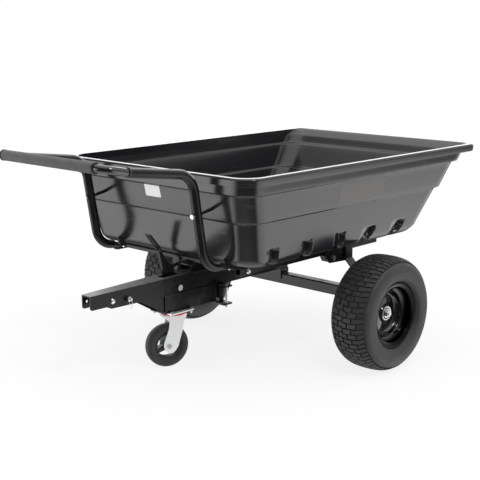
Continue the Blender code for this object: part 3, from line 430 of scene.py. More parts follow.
def smooth_line(points, steps):
    """A smooth curve through points (Catmull-Rom), for outlines with slow bends."""
    points = [Vector(p) for p in points]
    ends = [points[0] * 2 - points[1], *points, points[-1] * 2 - points[-2]]
    line = []
    for a, b, c, d in zip(ends, ends[1:], ends[2:], ends[3:]):
        for k in range(steps):
            t = k / steps
            line.append(0.5 * (2 * b + (c - a) * t + (2 * a - 5 * b + 4 * c - d) * t * t
                               + (3 * b - a - 3 * c + d) * t ** 3))
    return line + [points[-1]]


def turned_x(profile, segments, centre=(0, 0, 0), sign=1, closed=True):
    """Turn an outline of (x, radius) points about an axis along X through the centre."""
    rings = []
    for a, b in circle(1.0, segments):
        rings.append([(centre[0] + sign * x, centre[1] + r * a, centre[2] + r * b) for x, r in profile])
    if closed:
        return loft(rings, closed=True)
    return loft([list(ring) for ring in zip(*rings)])


def heading(path, i):
    """The way a path runs at one of its points."""
    return (path[min(i + 1, len(path) - 1)] - path[max(i - 1, 0)]).normalized()


def tube(path, radius, sides=24):
    """A round bar along a path; radius may be one number or one for each point."""
    path = [Vector(p) for p in path]
    sizes = radius if isinstance(radius, list) else [radius] * len(path)
    side = Vector((1, 0, 0)) if abs(heading(path, 0).x) < 0.7 else Vector((0, 0, 1))
    rings = []
    for i, (point, size) in enumerate(zip(path, sizes)):
        along = heading(path, i)
        side = (side - along * side.dot(along)).normalized()
        up = along.cross(side)
        rings.append([point + size * (a * side + b * up) for a, b in circle(1.0, sides)])
    return loft(rings)


def round_path(corners, radius, steps=12):
    """A path through corners, each rounded by an arc of the given radius."""
    corners = [Vector(corner) for corner in corners]
    points = corners[:1]
    for before, here, after in zip(corners, corners[1:], corners[2:]):
        back = (before - here).normalized()
        on = (after - here).normalized()
        half_angle = back.angle(on) / 2
        centre = here + (back + on).normalized() * radius / sin(half_angle)
        reach = radius / tan(half_angle)
        first, last = here + back * reach - centre, here + on * reach - centre
        axis = first.cross(last).normalized()
        for k in range(steps + 1):
            points.append(centre + Matrix.Rotation(first.angle(last) * k / steps, 3, axis) @ first)
    return points + corners[-1:]


def place_at(bm, matrix):
    """Move a bmesh by a matrix."""
    bmesh.ops.transform(bm, matrix=matrix, verts=bm.verts)
    return bm


def turn_from_x(axis):
    """The turn that takes +X to an axis."""
    return Vector((1, 0, 0)).rotation_difference(Vector(axis)).to_matrix().to_4x4()


def join(target, extra):
    """Add one bmesh to another."""
    mesh = bpy.data.meshes.new("joined")
    extra.to_mesh(mesh)
    extra.free()
    target.from_mesh(mesh)
    bpy.data.meshes.remove(mesh)
    return target


def make_piece(name, bm, material, body, replaced=(), sharp=35):
    """Turn a bmesh in the level frame into a piece that rides on a body."""
    bmesh.ops.recalc_face_normals(bm, faces=bm.faces[:])
    mesh = bpy.data.meshes.new(name)
    bm.to_mesh(mesh)
    bm.free()
    mesh.transform(LEVEL)
    mesh.shade_smooth()
    mesh.set_sharp_from_angle(angle=radians(sharp))
    mesh.materials.append(MATERIALS[material])
    piece = stand(name, mesh)
    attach(piece, body)
    if replaced:
        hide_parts(*replaced)
    return piece


# %% [markdown]
# ## The tub
# The tub is a stack of rounded rectangles. Each level is six numbers: half width, front, rear, the two
# corner radii and the height. Between levels everything changes at a steady rate, and the two outward
# steps and the rolled rim are just levels that lie close together. The stack runs up the outside, over
# the rim and down the inside, so the wall has a real thickness. Softening the list of levels rounds
# every edge at once.

# %% Tub levels
TUB_WALL = 0.005
OUTER_LEVELS = [
    (0.362, -0.520, 0.300, 0.058, 0.060, 0.430),
    (0.379, -0.556, 0.338, 0.070, 0.065, 0.436),
    (0.388, -0.570, 0.374, 0.072, 0.070, 0.452),
    (0.405, -0.597, 0.481, 0.072, 0.070, 0.584),
    (0.414, -0.606, 0.502, 0.075, 0.075, 0.588),
    (0.426, -0.628, 0.566, 0.077, 0.075, 0.677),
    (0.435, -0.637, 0.587, 0.080, 0.070, 0.681),
    (0.437, -0.638, 0.606, 0.077, 0.062, 0.710),
    (0.4485, -0.6495, 0.6545, 0.078, 0.042, 0.711),
    (0.451, -0.652, 0.656, 0.079, 0.042, 0.733),
    (0.447, -0.648, 0.652, 0.075, 0.038, 0.738),
    (0.431, -0.632, 0.638, 0.068, 0.036, 0.738),
]
LEVEL_REACH = [0.010, 0.010, 0.012, 0.0035, 0.0035, 0.0035, 0.0035, 0.0025, 0.0015, 0.0030, 0.0030, 0.0030]
FLOOR = OUTER_LEVELS[0]
SUMP_HALF, SUMP_FRONT, SUMP_REAR = 0.200, -0.488, -0.130
SUMP_FLOOR_Z = 0.386


def inner_levels():
    """The same wall, one thickness in, from the top step down to the floor."""
    levels = []
    for half_x, front, rear, front_corner, rear_corner, z in reversed(OUTER_LEVELS[:8]):
        low = z < OUTER_LEVELS[2][5]
        rear_wall = TUB_WALL if low else TUB_WALL * 1.5
        rise = TUB_WALL if low else TUB_WALL * 0.6
        levels.append((half_x - TUB_WALL, front + TUB_WALL, rear - rear_wall, front_corner - TUB_WALL,
                       rear_corner - TUB_WALL, z + rise))
    return levels


# %% [markdown]
# ## Pockets along the bottom
# Low on each side the mould has three square pockets with ribs between them and, further back, two
# scoops shaped like a fingernail. They are pushed into the wall as a depth that depends on where a
# point is along the side and how high it is. The columns of the mesh stand at fixed places along the
# side there, so that the edges of the pockets come out straight.

# %% Tub mesh
POCKETS = ((-0.488, -0.439), (-0.324, -0.272), (-0.151, -0.093))
POCKET_TOP = 0.4900
POCKET_DEPTH = 0.022
SCOOPS = ((0.005, 0.081), (0.180, 0.260))
SCOOP_TOP = 0.4930
SCOOP_DEPTH = 0.018
SCOOP_SWEEP = 0.016
FIXED_SIDE = (-0.430, 0.235)


def ease(value, low, high):
    """0 below low, 1 above high, smooth in between."""
    t = min(1.0, max(0.0, (value - low) / (high - low)))
    return t * t * (3 - 2 * t)


def pocket_depth(y, z):
    """How far the side wall is pushed in at a place along it and a height."""
    edge = 0.006
    depth = 0.0
    for front, rear in POCKETS:
        across = ease(y, front, front + edge) * (1 - ease(y, rear - edge, rear))
        depth += POCKET_DEPTH * across * (1 - ease(z, POCKET_TOP - edge, POCKET_TOP))
    for front, rear in SCOOPS:
        drop = min(1.0, max(0.0, (SCOOP_TOP - z) / (SCOOP_TOP - FLOOR[5])))
        back = rear - (rear - front) * 0.62 * drop ** 1.6
        lead = front - SCOOP_SWEEP * drop
        along = min(1.0, max(0.0, (y - lead) / (back - lead)))
        deepest = SCOOP_DEPTH * sin(pi * (0.06 + 0.80 * drop))
        depth += deepest * along * (1 - ease(y, back - 0.002, back + 0.002)) * ease(drop, 0.0, 0.10)
    return depth


def side_stations(front, rear):
    """Places along a side wall: fixed in the middle, stretched towards both corners."""
    low, high = FIXED_SIDE
    stations = [front + (low - front) * k / 8 for k in range(1, 8)]
    steps = round((high - low) / 0.004)
    stations += [low + (high - low) * k / steps for k in range(steps + 1)]
    stations += [high + (rear - high) * k / 12 for k in range(1, 12)]
    return stations


def tub_loop(level, pockets=True):
    """One loop round the tub at one level."""
    half_x, front, rear, front_corner, rear_corner, z = level
    points = []

    def arc(sign_x, edge, corner, quarter, steps=14):
        centre_x = sign_x * (half_x - corner)
        centre_y = edge - corner if quarter < 2 else edge + corner
        for k in range(steps + 1):
            turn = pi / 2 * (quarter + k / steps)
            points.append((centre_x + corner * cos(turn), centre_y + corner * sin(turn), z))

    def across(y, reach, sign, steps=24):
        for k in range(1, steps):
            points.append((sign * reach * (1 - 2 * k / steps), y, z))

    arc(1, rear, rear_corner, 0)
    across(rear, half_x - rear_corner, 1)
    arc(-1, rear, rear_corner, 1)
    side = side_stations(front + front_corner, rear - rear_corner)
    points += [(-half_x, y, z) for y in reversed(side)]
    arc(-1, front, front_corner, 2)
    across(front, half_x - front_corner, -1)
    arc(1, front, front_corner, 3)
    points += [(half_x, y, z) for y in side]
    if pockets and z < SCOOP_TOP:
        points = [(x - copysign(pocket_depth(y, z), x) if abs(x) > half_x * 0.93 else x, y, z)
                  for x, y, z in points]
    return points


def sump_loop(inset, z):
    """The floor's sunk middle, with as many points as the wall's loops."""
    half_x, front, rear = FLOOR[:3]
    middle, sump_middle = (front + rear) / 2, (SUMP_FRONT + SUMP_REAR) / 2
    scale_x = (SUMP_HALF - inset) / half_x
    scale_y = (SUMP_REAR - SUMP_FRONT - 2 * inset) / (rear - front)
    return [(x * scale_x, sump_middle + (y - middle) * scale_y, z) for x, y, _ in tub_loop(FLOOR, False)]


def fill_levels(levels, spacing):
    """Put more levels between those that lie further apart than the spacing."""
    filled = [levels[0]]
    for low, high in zip(levels, levels[1:]):
        wanted = spacing if min(low[5], high[5]) < SCOOP_TOP else spacing * 4
        count = max(1, ceil(abs(high[5] - low[5]) / wanted))
        filled += [low + (high - low) * k / count for k in range(1, count + 1)]
    return filled


def build_tub():
    outside = fill_levels(soften(OUTER_LEVELS, LEVEL_REACH, 4), 0.0045)
    inside = fill_levels(soften([OUTER_LEVELS[-1], *inner_levels()], 0.0045, 4), 0.0045)
    low, high = SUMP_FLOOR_Z, FLOOR[5]
    sump_outside = ((0.044, low), (0.032, low + 0.001), (0.026, low + 0.006), (0.006, high - 0.006),
                    (0, high), (-0.012, high))
    rings = [sump_loop(inset, z) for inset, z in sump_outside]
    rings += [tub_loop(level) for level in outside + inside[1:]]
    low, high = low + TUB_WALL, high + TUB_WALL
    sump_inside = ((-0.008, high), (0.003, high), (0.009, high - 0.006), (0.030, low + 0.005), (0.037, low),
                   (0.050, low))
    rings += [sump_loop(inset, z) for inset, z in sump_inside]
    return make_piece("tub_shell", loft(rings), "tub_plastic", "tipping_tub", ["tub"], 50)


tub = build_tub()
print("tub shell:", len(tub.data.polygons), "faces")

# %% [markdown]
# ## Stickers
# A white label on the front wall and a film sticker on the side are both thin sheets pressed onto the
# wall, so they take its slope. Both are left blank. A sheet is a rounded rectangle, a few tenths of a
# millimetre thick, placed by its centre and turned to lie along the wall.

# %% Stickers
LABEL_Z, FILM_Z = 0.655, 0.633
WALL_FOOT = Vector(OUTER_LEVELS[4])
WALL_RISE = Vector(OUTER_LEVELS[5]) - WALL_FOOT


def wall_place(z):
    """Half width and front of the wall's outside at a height between the two steps."""
    return (WALL_FOOT + WALL_RISE * (z - WALL_FOOT[5]) / WALL_RISE[5])[:2]


def rounded_rect(half_a, half_b, radius, steps=4):
    points = []
    for quarter, (a, b) in enumerate(((1, 1), (-1, 1), (-1, -1), (1, -1))):
        for k in range(steps + 1):
            turn = pi / 2 * (quarter + k / steps)
            points.append((a * (half_a - radius) + radius * cos(turn),
                           b * (half_b - radius) + radius * sin(turn)))
    return points


def sticker(name, half_a, half_b, place, normal, material, replaced=()):
    """A thin sheet on the wall: its size, its centre and the wall's outward normal."""
    normal = Vector(normal).normalized()
    along = Vector((0, 0, 1)).cross(normal).normalized()
    up = normal.cross(along)
    rings = []
    for inset, lift in ((0.0, -0.0003), (0.0, 0.0002), (0.0006, 0.0004)):
        outline = rounded_rect(half_a - inset, half_b - inset, 0.003)
        rings.append([Vector(place) + a * along + b * up + lift * normal for a, b in outline])
    return make_piece(name, loft(rings), material, "tipping_tub", replaced, 12)


side_slope, wall_slope = (rise / WALL_RISE[5] for rise in WALL_RISE[:2])
sticker("front_label", 0.037, 0.0205, (-0.008, wall_place(LABEL_Z)[1], LABEL_Z), (0, -1, wall_slope),
        "label_white", ["blank_label"])
sticker("side_film", 0.128, 0.036, (wall_place(FILM_Z)[0], -0.039, FILM_Z), (1, 0, -side_slope),
        "sticker_film")

# %% [markdown]
# ## Handle
# The handle is three lengths of bent tube: two painted legs, flattened where they are bolted under the
# tub, and a glossy loop that plugs into them. The grip is a matte sleeve on the loop. A leg starts flat,
# and its first stations are ellipses that swell into the round tube.

# %% Handle
LEG_X = 0.262
LEG_RADIUS = 0.0155
LEG_BEND = 0.074
LEG_ROUTE = [(-0.5874, 0.4331), (-0.6500, 0.4331), (-0.7025, 0.7440), (-0.957, 0.7769)]
TAB_Z = 0.4223
LOOP_RADIUS = 0.0125
GRIP_RADIUS = 0.0172
GRIP_HALF = 0.221
GRIP_COLLAR_RADIUS = 0.0179
LEG_COLLAR_RADIUS = 0.0163
COLLAR_WIDTH = 0.0050
HANDLE_END = (-1.050, 0.796)
TAB_SECTIONS = ((-0.5230, 0, 0.0150, 0.0022), (-0.5245, 0, 0.0168, 0.0029), (-0.5600, 0, 0.0170, 0.0029),
                (-0.5680, 0.0016, 0.0169, 0.0045), (-0.5760, 0.0056, 0.0165, 0.0090),
                (-0.5830, 0.0092, 0.0159, 0.0135))
tip = Vector((0, *LEG_ROUTE[-1]))
tip_way = (tip - Vector((0, *LEG_ROUTE[-2]))).normalized()


def handle_leg(sign):
    """A leg: the flat tab as ellipses (y, lift, half width, half height), then tube, then its rolled end."""
    side = sign * LEG_X
    rings = []
    for y, lift, half_width, half_height in TAB_SECTIONS:
        rings.append([(side + half_width * a, y, TAB_Z + lift + half_height * b) for a, b in circle(1.0, 24)])
    path = round_path([(side, y, z) for y, z in LEG_ROUTE], LEG_BEND, 16)[1:]

    def ring(point, along, radius):
        up = along.cross(Vector((1, 0, 0)))
        rings.append([point + radius * (Vector((a, 0, 0)) + b * up) for a, b in circle(1.0, 24)])

    for i, point in enumerate(path):
        ring(point, heading(path, i), LEG_RADIUS)
    for reach, radius in ((0.0012, 0.0150), (0.0014, 0.0133), (-0.004, 0.0131)):
        ring(path[-1] + tip_way * reach, tip_way, radius)
    return loft(rings)


def handle_loop():
    root = tip - tip_way * 0.01
    arm = [root.yz, tip.yz, HANDLE_END]
    corners = [(-LEG_X, *stop) for stop in arm] + [(LEG_X, *stop) for stop in reversed(arm)]
    return tube(round_path(corners, 0.040, 14), LOOP_RADIUS, 28)


def grip_sleeve():
    half = GRIP_HALF
    profile = [(-half, LOOP_RADIUS + 0.0003), (-half, GRIP_RADIUS - 0.0035),
               (-half + 0.0010, GRIP_RADIUS - 0.0010), (-half + 0.0035, GRIP_RADIUS)]
    profile += [(-x, r) for x, r in reversed(profile)]
    return turned_x(profile, 40, (0, *HANDLE_END))


for side, sign in SIDES:
    make_piece(f"leg_tube_{side}", handle_leg(sign), "frame_paint", "tipping_tub", [f"handle_leg_{side}"])
make_piece("loop_tube", handle_loop(), "loop_paint", "tipping_tub", ["handle_loop"], 35)
make_piece("grip_sleeve", grip_sleeve(), "grip_rubber", "tipping_tub", ["handle_grip"])


def collar(name, radius, place):
    """A black plastic ring about the loop, along X from the origin, then moved to its place."""
    edge, width, bore = 0.0006, COLLAR_WIDTH, LOOP_RADIUS + 0.0002
    ring = turned_x([(0, bore), (0, radius - edge), (edge, radius), (width - edge, radius),
                     (width, radius - edge), (width, bore)], 40)
    make_piece(name, place_at(ring, place), "core_plastic", "tipping_tub")


for side, sign in SIDES:
    place = Matrix.Translation((sign * (GRIP_HALF + 0.0002), *HANDLE_END))
    collar(f"grip_collar_{side}", GRIP_COLLAR_RADIUS, place @ Matrix.Scale(sign, 4, (1, 0, 0)))
    place = Matrix.Translation(Vector((sign * LEG_X, *LEG_ROUTE[-1])) + tip_way * 0.0016)
    collar(f"leg_collar_{side}", LEG_COLLAR_RADIUS, place @ turn_from_x(tip_way))
print("handle: 2 legs, loop, grip and 4 collars")

# %% [markdown]
# ## Turf tyres
# A turf tyre has a wide flat crown, round shoulders and smooth sidewalls. Its tread is not a texture:
# it stands more than five millimetres proud, in courses of hooked blocks that lock into each other. So
# the carcass is turned from a smooth outline, sunk by the tread's depth where blocks will stand, with
# two fine rings low on the sidewall and a bead that closes on the rim.

# %% Tyre carcass
WHEEL_X = joints["wheel_left_roll"]["pos_m"][0]
TREAD_DEPTH = 0.0056
PITCHES = 33
BEAD = 0.1024
TYRE_OUTLINE = [(0.0, 0.2028), (0.0190, 0.2025), (0.0371, 0.2011), (0.0500, 0.1984), (0.0594, 0.1946),
                (0.0690, 0.1886), (0.0760, 0.1806), (0.0806, 0.1700), (0.0822, 0.1560), (0.0819, 0.1450),
                (0.0790, 0.1310), (0.0716, 0.1215), (0.0665, 0.1192)]
CROWN = smooth_line(TYRE_OUTLINE, 6)


def crown_point(across):
    """Point and outward normal of the tyre's outline, a distance along it from the crown's middle."""
    left = abs(across)
    for start, end in zip(CROWN, CROWN[1:]):
        length = (end - start).length
        if left <= length:
            break
        left -= length
    along = (end - start).normalized()
    point = start + along * left
    sign = copysign(1.0, across)
    return Vector((sign * point[0], point[1])), Vector((sign * -along[1], along[0]))


def mould_ring(r, middle, height, width):
    """How far a fine ring of the mould stands out of the sidewall at a radius."""
    return height * exp(-((r - middle) / width) ** 2)


def carcass_outline():
    """The closed outline under the tread: crown sunk by the tread's depth, sidewalls and beads."""
    side = []
    for x, r in CROWN:
        sunk = 0.0003 + TREAD_DEPTH * (1 - ease(abs(x), 0.0640, 0.0765)) if r > 0.16 else 0.0003
        ring = mould_ring(r, 0.1290, 0.0007, 0.0016) + mould_ring(r, 0.1370, 0.0005, 0.0012)
        out = Vector((x, r)) * (1 - sunk / 0.203) if x < 0.05 else Vector((x - sunk * 0.35, r - sunk * 0.9))
        side.append((out[0] + ring, out[1]))
    side += [(0.0580, 0.1180), (0.0580, BEAD), (0.0480, BEAD), (0.0620, 0.1300), (0.0690, 0.1500)]
    side += [(0.0560, 0.1790), (0.0280, 0.1890), (0.0, 0.1905)]
    return side + [(-x, r) for x, r in reversed(side[1:-1])]


# %% [markdown]
# ## Tread blocks
# The tread is laid like bricks. Narrow grooves cross it at every half pitch, all with the same slow wave,
# and run out over both shoulders. Between two of them short grooves along the tyre split the course into
# blocks, and every other course is split at other places. So a block is a stretch of one course: two
# waves, a course apart, between two splits. It is wrapped onto the carcass and raised, with a narrower
# top. Places are in millimetres on the unrolled tread: across the tyre, then round it.

# %% Tread blocks
TREAD_EDGE = 71
WAVE = [(-TREAD_EDGE, -0.5), (-56, 0.0), (-42, 1.0), (-30, 6.0), (-20, 2.5), (-8, 7.5), (4, 9.5), (24, 6.5),
        (46, 6.0), (57, 2.0), (TREAD_EDGE, -1.0)]
COURSES = ((-TREAD_EDGE, -31, 6, 44, TREAD_EDGE), (-TREAD_EDGE, -49, -12, 24, TREAD_EDGE))
CROSS_GROOVE = 3.4
SPLIT_GROOVE = 4.2


def wave_at(across):
    """How far round the tyre the crossing grooves are shifted at a place across it."""
    for (low, shift), (high, next_shift) in zip(WAVE, WAVE[1:]):
        if across <= high:
            break
    return shift + (next_shift - shift) * (across - low) / (high - low)


def block_outline(low, high, course):
    """The outline of one block: along one wave, then back along the next."""
    start = low + (SPLIT_GROOVE / 2 if low > -TREAD_EDGE else 0)
    end = high - (SPLIT_GROOVE / 2 if high < TREAD_EDGE else 0)
    stops = [start, *[a for a, _ in WAVE if start + 3 < a < end - 3], end]
    half = {a: CROSS_GROOVE / 2 * (1 + 0.6 * ease(abs(a), 46, 66)) for a in stops}
    near = [(a, wave_at(a) + half[a]) for a in stops]
    far = [(a, wave_at(a) + course - half[a]) for a in reversed(stops)]
    return near + far


def add_block(bm, outline, turn):
    """One raised block: its outline wrapped at three heights and closed."""
    middle = Vector((sum(a for a, _ in outline), sum(b for _, b in outline))) / len(outline)
    rings = []
    for height, inset in ((-TREAD_DEPTH - 0.0008, -0.7), (-0.0010, 0.0), (0.0, 0.8)):
        ring = []
        for a, b in outline:
            if abs(a) < TREAD_EDGE:
                a -= copysign(min(inset, abs(a - middle[0])), a - middle[0])
            b -= copysign(inset, b - middle[1])
            point, normal = crown_point(a / 1000)
            place = point + normal * height
            angle = turn + b / 1000 / WHEEL_RADIUS
            ring.append((place[0], place[1] * -sin(angle), place[1] * cos(angle)))
        rings.append(ring)
    loft(rings, bm=bm)


def build_tread():
    """All the blocks of one tyre, about the origin."""
    bm = bmesh.new()
    count = PITCHES * len(COURSES)
    course = 1000 * 2 * pi * WHEEL_RADIUS / count
    for k in range(count):
        splits = COURSES[k % len(COURSES)]
        for low, high in zip(splits, splits[1:]):
            add_block(bm, block_outline(low, high, course), 2 * pi * k / count)
    return bm


for side, sign in SIDES:
    centre = (sign * WHEEL_X, 0, WHEEL_RADIUS)
    make_piece(f"tyre_carcass_{side}", turned_x(carcass_outline(), 120, centre, sign), "tyre_rubber",
               f"wheel_{side}", [f"tyre_{side}"], 60)
    blocks = make_piece(f"tyre_tread_{side}", place_at(build_tread(), Matrix.Translation(centre)),
                        "tread_rubber", f"wheel_{side}", (), 30)
print("tread:", len(blocks.data.polygons), "faces on each tyre")

# %% [markdown]
# ## Rims and hubs
# The rim is spun from one sheet: a rolled flange, a bead seat, a drop centre and a deep dish that ends in
# the hub tube. It is an outline turned about the axle, with its corners softened, and gloss paint picks
# up the rings of highlights by itself. In the hub sit a plated bearing ring, a washer and a lock nut,
# and the valve stem leans out of the dish.

# %% Rims and hubs
def rim_outline():
    """The sheet's outline: outer flange, outer face, hub tube, inner face, inner flange, bead seat."""
    flange = [(0.0605, 0.1005), (0.0608, 0.1135), (0.0618, 0.1165), (0.0640, 0.1150), (0.0642, 0.1095)]
    outer_face = [(0.0600, 0.0985), (0.0420, 0.0960), (0.0370, 0.0870), (0.0330, 0.0800), (0.0200, 0.0775),
                  (0.0110, 0.0700), (0.0145, 0.0460), (0.0180, 0.0320), (0.0236, 0.0280), (0.0262, 0.0264)]
    hub_tube = [(0.0262, 0.0178), (-0.0490, 0.0178), (-0.0490, 0.0210), (0.0100, 0.0250)]
    inner_face = [(0.0090, 0.0450), (0.0060, 0.0700), (-0.0260, 0.0735), (-0.0430, 0.0950), (-0.0610, 0.0970)]
    inner_flange = [(-0.0670, 0.1040), (-0.0695, 0.1150), (-0.0675, 0.1178), (-0.0640, 0.1150)]
    bead_seat = [(-0.0635, 0.1010), (-0.0440, 0.0990), (-0.0290, 0.0770), (0.0180, 0.0800), (0.0300, 0.0850),
                 (0.0380, 0.0990)]
    outline = flange + outer_face + hub_tube + inner_face + inner_flange + bead_seat
    return soften(outline, 0.0030, 3, closed=True)


def hex_nut(centre, sign, start, height, flats, bore):
    """A hexagonal nut with chamfered corners on an axis along X."""
    end = start + height
    rings = []
    for x, scale in ((start, 0.90), (start + 0.0008, 1.0), (end - 0.0012, 1.0), (end, 0.88)):
        ring = []
        for i in range(48):
            turn = 2 * pi * i / 48
            reach = flats / max(abs(cos(turn + k * pi / 3)) for k in range(3))
            reach = min(reach * scale, flats * 1.13)
            ring.append((sign * x, reach * cos(turn), reach * sin(turn)))
        rings.append(ring)
    rings += [[(sign * x, a, b) for a, b in circle(bore, 48)] for x in (end, start)]
    return place_at(loft(rings, closed=True), Matrix.Translation(centre))


BEARING_RING = [(0.0264, 0.0206), (0.0264, 0.0250), (0.0290, 0.0250), (0.0296, 0.0232), (0.0290, 0.0206)]
BEARING_FACE = [(0.0264, 0.0130), (0.0264, 0.0204), (0.0276, 0.0204), (0.0276, 0.0130)]
AXLE_BORE = 0.0078
WASHER = [(0.0280, AXLE_BORE), (0.0280, 0.0168), (0.0300, 0.0168), (0.0300, AXLE_BORE)]
STEM = [(0.0, 0.0030), (0.0, 0.0052), (0.0060, 0.0052), (0.0100, 0.0036), (0.0230, 0.0036), (0.0240, 0.0044),
        (0.0310, 0.0044), (0.0318, 0.0030)]
STEM_RADIUS = 0.0865
STEM_TURN = radians(-62)

for side, sign in SIDES:
    centre = Vector((sign * WHEEL_X, 0, WHEEL_RADIUS))
    body = f"wheel_{side}"
    make_piece(f"rim_shell_{side}", turned_x(rim_outline(), 96, centre, sign), "rim_paint", body,
               [f"rim_{side}"], 45)
    for name, outline, material in (("ring", BEARING_RING, "zinc"), ("face", BEARING_FACE, "core_plastic")):
        bearing = turned_x(soften(outline, 0.0006, 2, True), 48, centre, sign)
        make_piece(f"bearing_{name}_{side}", bearing, material, body)
    nut = hex_nut(centre, sign, start=0.0302, height=0.0090, flats=0.0120, bore=AXLE_BORE)
    make_piece(f"lock_nut_{side}", join(nut, turned_x(WASHER, 40, centre, sign)), "zinc", "chassis",
               [f"hub_nut_{side}"])
    outward = Vector((0, cos(STEM_TURN), sin(STEM_TURN)))
    base = centre + Vector((sign * 0.034, 0, 0)) + outward * STEM_RADIUS
    lean = (Vector((sign * 0.80, 0, 0)) - outward * 0.60).normalized()
    valve = tube([base + lean * along for along, _ in STEM], [radius for _, radius in STEM], 16)
    make_piece(f"valve_stem_{side}", valve, "core_plastic", body)
print("wheels: rim, bearing, nut and valve on both sides")

# %% [markdown]
# ## Caster
# The caster is a catalogue part: a plated plate with four bolts, a red dust seal, a pressed fork and a
# solid rubber tyre on a spoked plastic core. The plate and the fork stay as CAD nodes. The bolts with
# their nuts, and a rounder tyre, are added here.

# %% Caster
CASTER_Y = -0.547
HEADING = radians(-112)
CASTER_RADIUS = 0.0763
CASTER_HALF = 0.018
roll_axle = LEVEL.inverted() @ Vector(joints["caster_roll"]["pos_m"])
spin = Matrix.Translation(roll_axle) @ Matrix.Rotation(HEADING + pi / 2, 4, "Z")

half, top = CASTER_HALF, CASTER_RADIUS
one_side = [(0.0140, 0.0446), (0.0150, 0.0500), (half, 0.0530), (half, top - 0.0090),
            (half * 0.80, top - 0.0018), (half * 0.30, top)]
tyre_outline = soften([(-x, r) for x, r in one_side] + one_side[::-1], 0.0040, 4, closed=True)
caster_tread = place_at(turned_x(tyre_outline, 96), spin)
make_piece("caster_tread", caster_tread, "tyre_rubber", "caster_wheel", ["caster_tyre"], 50)


def bolt(place, axis, head, height, washer, shank=0.0, shank_radius=0.0, nut_at=0.0):
    """A hex-headed bolt standing on a place, with a washer and, down its shank, a nut."""
    centre = (0, 0, 0)
    flats = head * cos(pi / 6)
    thick = 0.0014
    made = hex_nut(centre, 1, thick, height, flats, 0.0002)
    ring = [(0.0, 0.0006), (0.0, washer - 0.0004), (0.0004, washer), (0.0012, washer),
            (thick, washer - 0.0006), (thick, 0.0006)]
    join(made, turned_x(ring, 32))
    if shank:
        pin = [(-shank, shank_radius * 0.85), (-shank + 0.001, shank_radius), (0.0, shank_radius)]
        join(made, turned_x(pin, 20, closed=False))
        join(made, hex_nut(centre, -1, nut_at, height, flats, shank_radius))
    return place_at(made, Matrix.Translation(place) @ turn_from_x(axis))


PLATE_TOP = 0.2357
PLATE_HOLE = 0.0445
for index, (across, along) in enumerate(((1, -1), (1, 1), (-1, -1), (-1, 1))):
    place = (across * PLATE_HOLE, CASTER_Y + along * PLATE_HOLE, PLATE_TOP + 0.0002)
    plate_bolt = bolt(place, (0, 0, 1), head=0.0068, height=0.0052, washer=0.0074, shank=0.0150,
                      shank_radius=0.0038, nut_at=0.0046)
    make_piece(f"caster_bolt_{index + 1}", plate_bolt, "zinc", "chassis")
print("caster wheel centre, level frame:", [round(value, 4) for value in roll_axle])

# %% [markdown]
# ## Frame fasteners
# The front crossbar is bolted to the side rails, and a round-headed bolt fills one hole of the drawbar.
# They are small but bright, and they show in the picture as single points of light. The hitch pin's
# wire hangs as a narrow loop: it keeps the height and the middle of the CAD model's round ring.

# %% Frame fasteners
RAIL_FACE_X = 0.3152
for side, sign in SIDES:
    place = (sign * RAIL_FACE_X, -0.505, 0.4115)
    rail_bolt = bolt(place, (sign, 0, 0), head=0.0062, height=0.0048, washer=0.0078)
    make_piece(f"rail_bolt_{side}", rail_bolt, "zinc", "tipping_tub")

ring_node = frame["nodes"]["hitch_pin_ring"]
ring_points = [LEVEL.inverted() @ ring_node.matrix_world @ vertex.co for vertex in ring_node.data.vertices]
low, high = (Vector([pick(values) for values in zip(*ring_points)]) for pick in (min, max))
middle = (low + high) / 2
WIRE_RADIUS = 0.0008
WIRE_HALF_WIDTH = 0.0065
half_high = (high.z - low.z) / 2 - WIRE_RADIUS
wire_rings = []
for up, over in circle(1.0, 48):
    place = middle + Vector((0, WIRE_HALF_WIDTH * over, half_high * up))
    out = Vector((0, half_high * over, WIRE_HALF_WIDTH * up)).normalized()
    wire_rings.append([place + WIRE_RADIUS * (a * out + Vector((b, 0, 0))) for a, b in circle(1.0, 10)])
make_piece("hitch_wire", loft(wire_rings, closed=True), "zinc", "pin", ["hitch_pin_ring"])

DRAWBAR_HOLE = (0.0250, -0.833, 0.3232)
dome = [(0.0002, 0.0001), (0.0002, 0.0090), (0.0012, 0.0094), (0.0030, 0.0080), (0.0044, 0.0045),
        (0.0048, 0.0001)]
make_piece("drawbar_bolt", turned_x(dome, 32, DRAWBAR_HOLE, closed=False), "zinc", "chassis")
print("2 rail bolts, the wire loop and the drawbar bolt")

# %% [markdown]
# ## Studio
# A plain pale floor and a soft sky-like dome. The picture's ground is pure white, so the camera, and
# mirrors and glass, see white through light-path switches, while the object is lit at a plain level. The
# dome isn't the same all round: it is bright to the left and the right of the camera and dim behind it,
# as with two large soft boxes. That is what turns the tub's flat walls grey and its corners black. One
# small lamp shows in mirrors too, and draws the white line along the tub's rim.

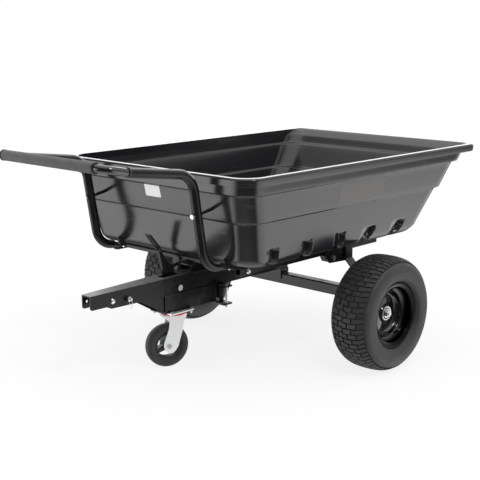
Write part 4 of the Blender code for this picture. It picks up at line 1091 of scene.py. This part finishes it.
# %% Floor and light
def build_world():
    world = bpy.data.worlds.new("studio_dome")
    bpy.context.scene.world = world
    world.use_nodes = True
    world.node_tree.nodes.clear()
    dome = Nodes(world.node_tree)
    way = dome.node("TexCoord", {}, {}, "Generated")
    height = dome.node("SeparateXYZ", {}, {0: way}, "Z")
    to_camera = dome.vector("DOT_PRODUCT", way, (sin(AZIMUTH), -cos(AZIMUTH), 0))
    to_right = dome.vector("DOT_PRODUCT", way, (cos(AZIMUTH), sin(AZIMUTH), 0))

    left_box = dome.band(to_right, -0.58, -0.96) * dome.band(height, 0.30, -0.05)
    left_box = left_box * dome.band(to_camera, -1.10, 0.10) * 3.1
    beside_right = dome.band(to_right, 0.56, 0.76) * dome.band(to_camera, 0.74, 0.40)
    low_box = beside_right * dome.band(height, -0.13, -0.27) * 2.25
    high_box = beside_right * dome.band(height, -0.14, 0.02) * 0.95
    backdrop = dome.band(to_camera, -0.30, -0.70) * dome.band(height, -0.02, 0.10)
    backdrop = backdrop * dome.band(height, 0.75, 0.35) * 2.6
    ground = dome.band(height, -0.60, -0.88) * 1.2
    overhead = dome.band(height, 0.54, 0.86) * 1.8
    glow = left_box.most(low_box).most(high_box).most(backdrop).most(ground)

    white = dome.node("Background", {}, {"Color": (1, 1, 1), "Strength": 1.0})
    even = dome.node("Background", {}, {"Color": (0.97, 0.98, 1.0), "Strength": 0.62})
    mirror = dome.node("Background", {}, {"Color": (1, 1, 1), "Strength": glow + overhead + 0.10})
    in_mirrors = dome.node("LightPath", {}, {}, "Is Glossy Ray")
    seen = dome.node("LightPath", {}, {}, "Is Camera Ray")
    through_glass = dome.node("LightPath", {}, {}, "Is Transmission Ray")
    lit = dome.node("MixShader", {}, {0: in_mirrors, 1: even, 2: mirror})
    shown = dome.node("MixShader", {}, {0: seen.most(through_glass), 1: lit, 2: white})
    dome.plug(dome.tree.nodes.new("ShaderNodeOutputWorld").inputs["Surface"], shown)


def build_floor():
    mesh = bpy.data.meshes.new("studio_floor")
    mesh.from_pydata([(-14, -14, 0), (14, -14, 0), (14, 14, 0), (-14, 14, 0)], [], [(0, 1, 2, 3)])
    pale = Finish("pale_floor", (0.97, 0.97, 0.975), 0.9)
    white = pale.node("Emission", {}, {"Strength": 1.0})
    clear = pale.node("BsdfTransparent", {}, {})
    fade = 0.84 + pale.band(pale.vector("LENGTH", pale.place), 0.75, 1.35) * 0.16
    seen = pale.node("MixShader", {}, {0: fade, 1: Wire(pale, pale.shader.outputs[0]), 2: white})
    in_mirrors = pale.node("LightPath", {}, {}, "Is Glossy Ray")
    shown = pale.node("MixShader", {}, {0: in_mirrors, 1: seen, 2: clear})
    pale.plug(pale.tree.nodes["Material Output"].inputs["Surface"], shown)
    mesh.materials.append(pale.material)
    stand("studio_floor", mesh)


def soft_box(name, place, aim, size, power, in_mirrors=False):
    light = bpy.data.lights.new(name, "AREA")
    light.size = size
    light.energy = power
    lamp = stand(name, light)
    lamp.location = place
    lamp.rotation_euler = (Vector(aim) - Vector(place)).to_track_quat("-Z", "Y").to_euler()
    lamp.visible_glossy = in_mirrors


build_world()
build_floor()
soft_box("overhead_box", (0.3, 0.2, 3.4), (0, 0, 0.4), size=3.2, power=42)
soft_box("left_box", (-2.8, -2.6, 1.7), (0, 0, 0.4), size=2.2, power=24)
soft_box("small_box", (1.70, -0.58, 2.15), (0.2, 0, 0.3), size=0.40, power=15, in_mirrors=True)
bpy.context.scene.view_settings.view_transform = "Standard"
print("studio: a dome, a floor and 3 soft boxes")
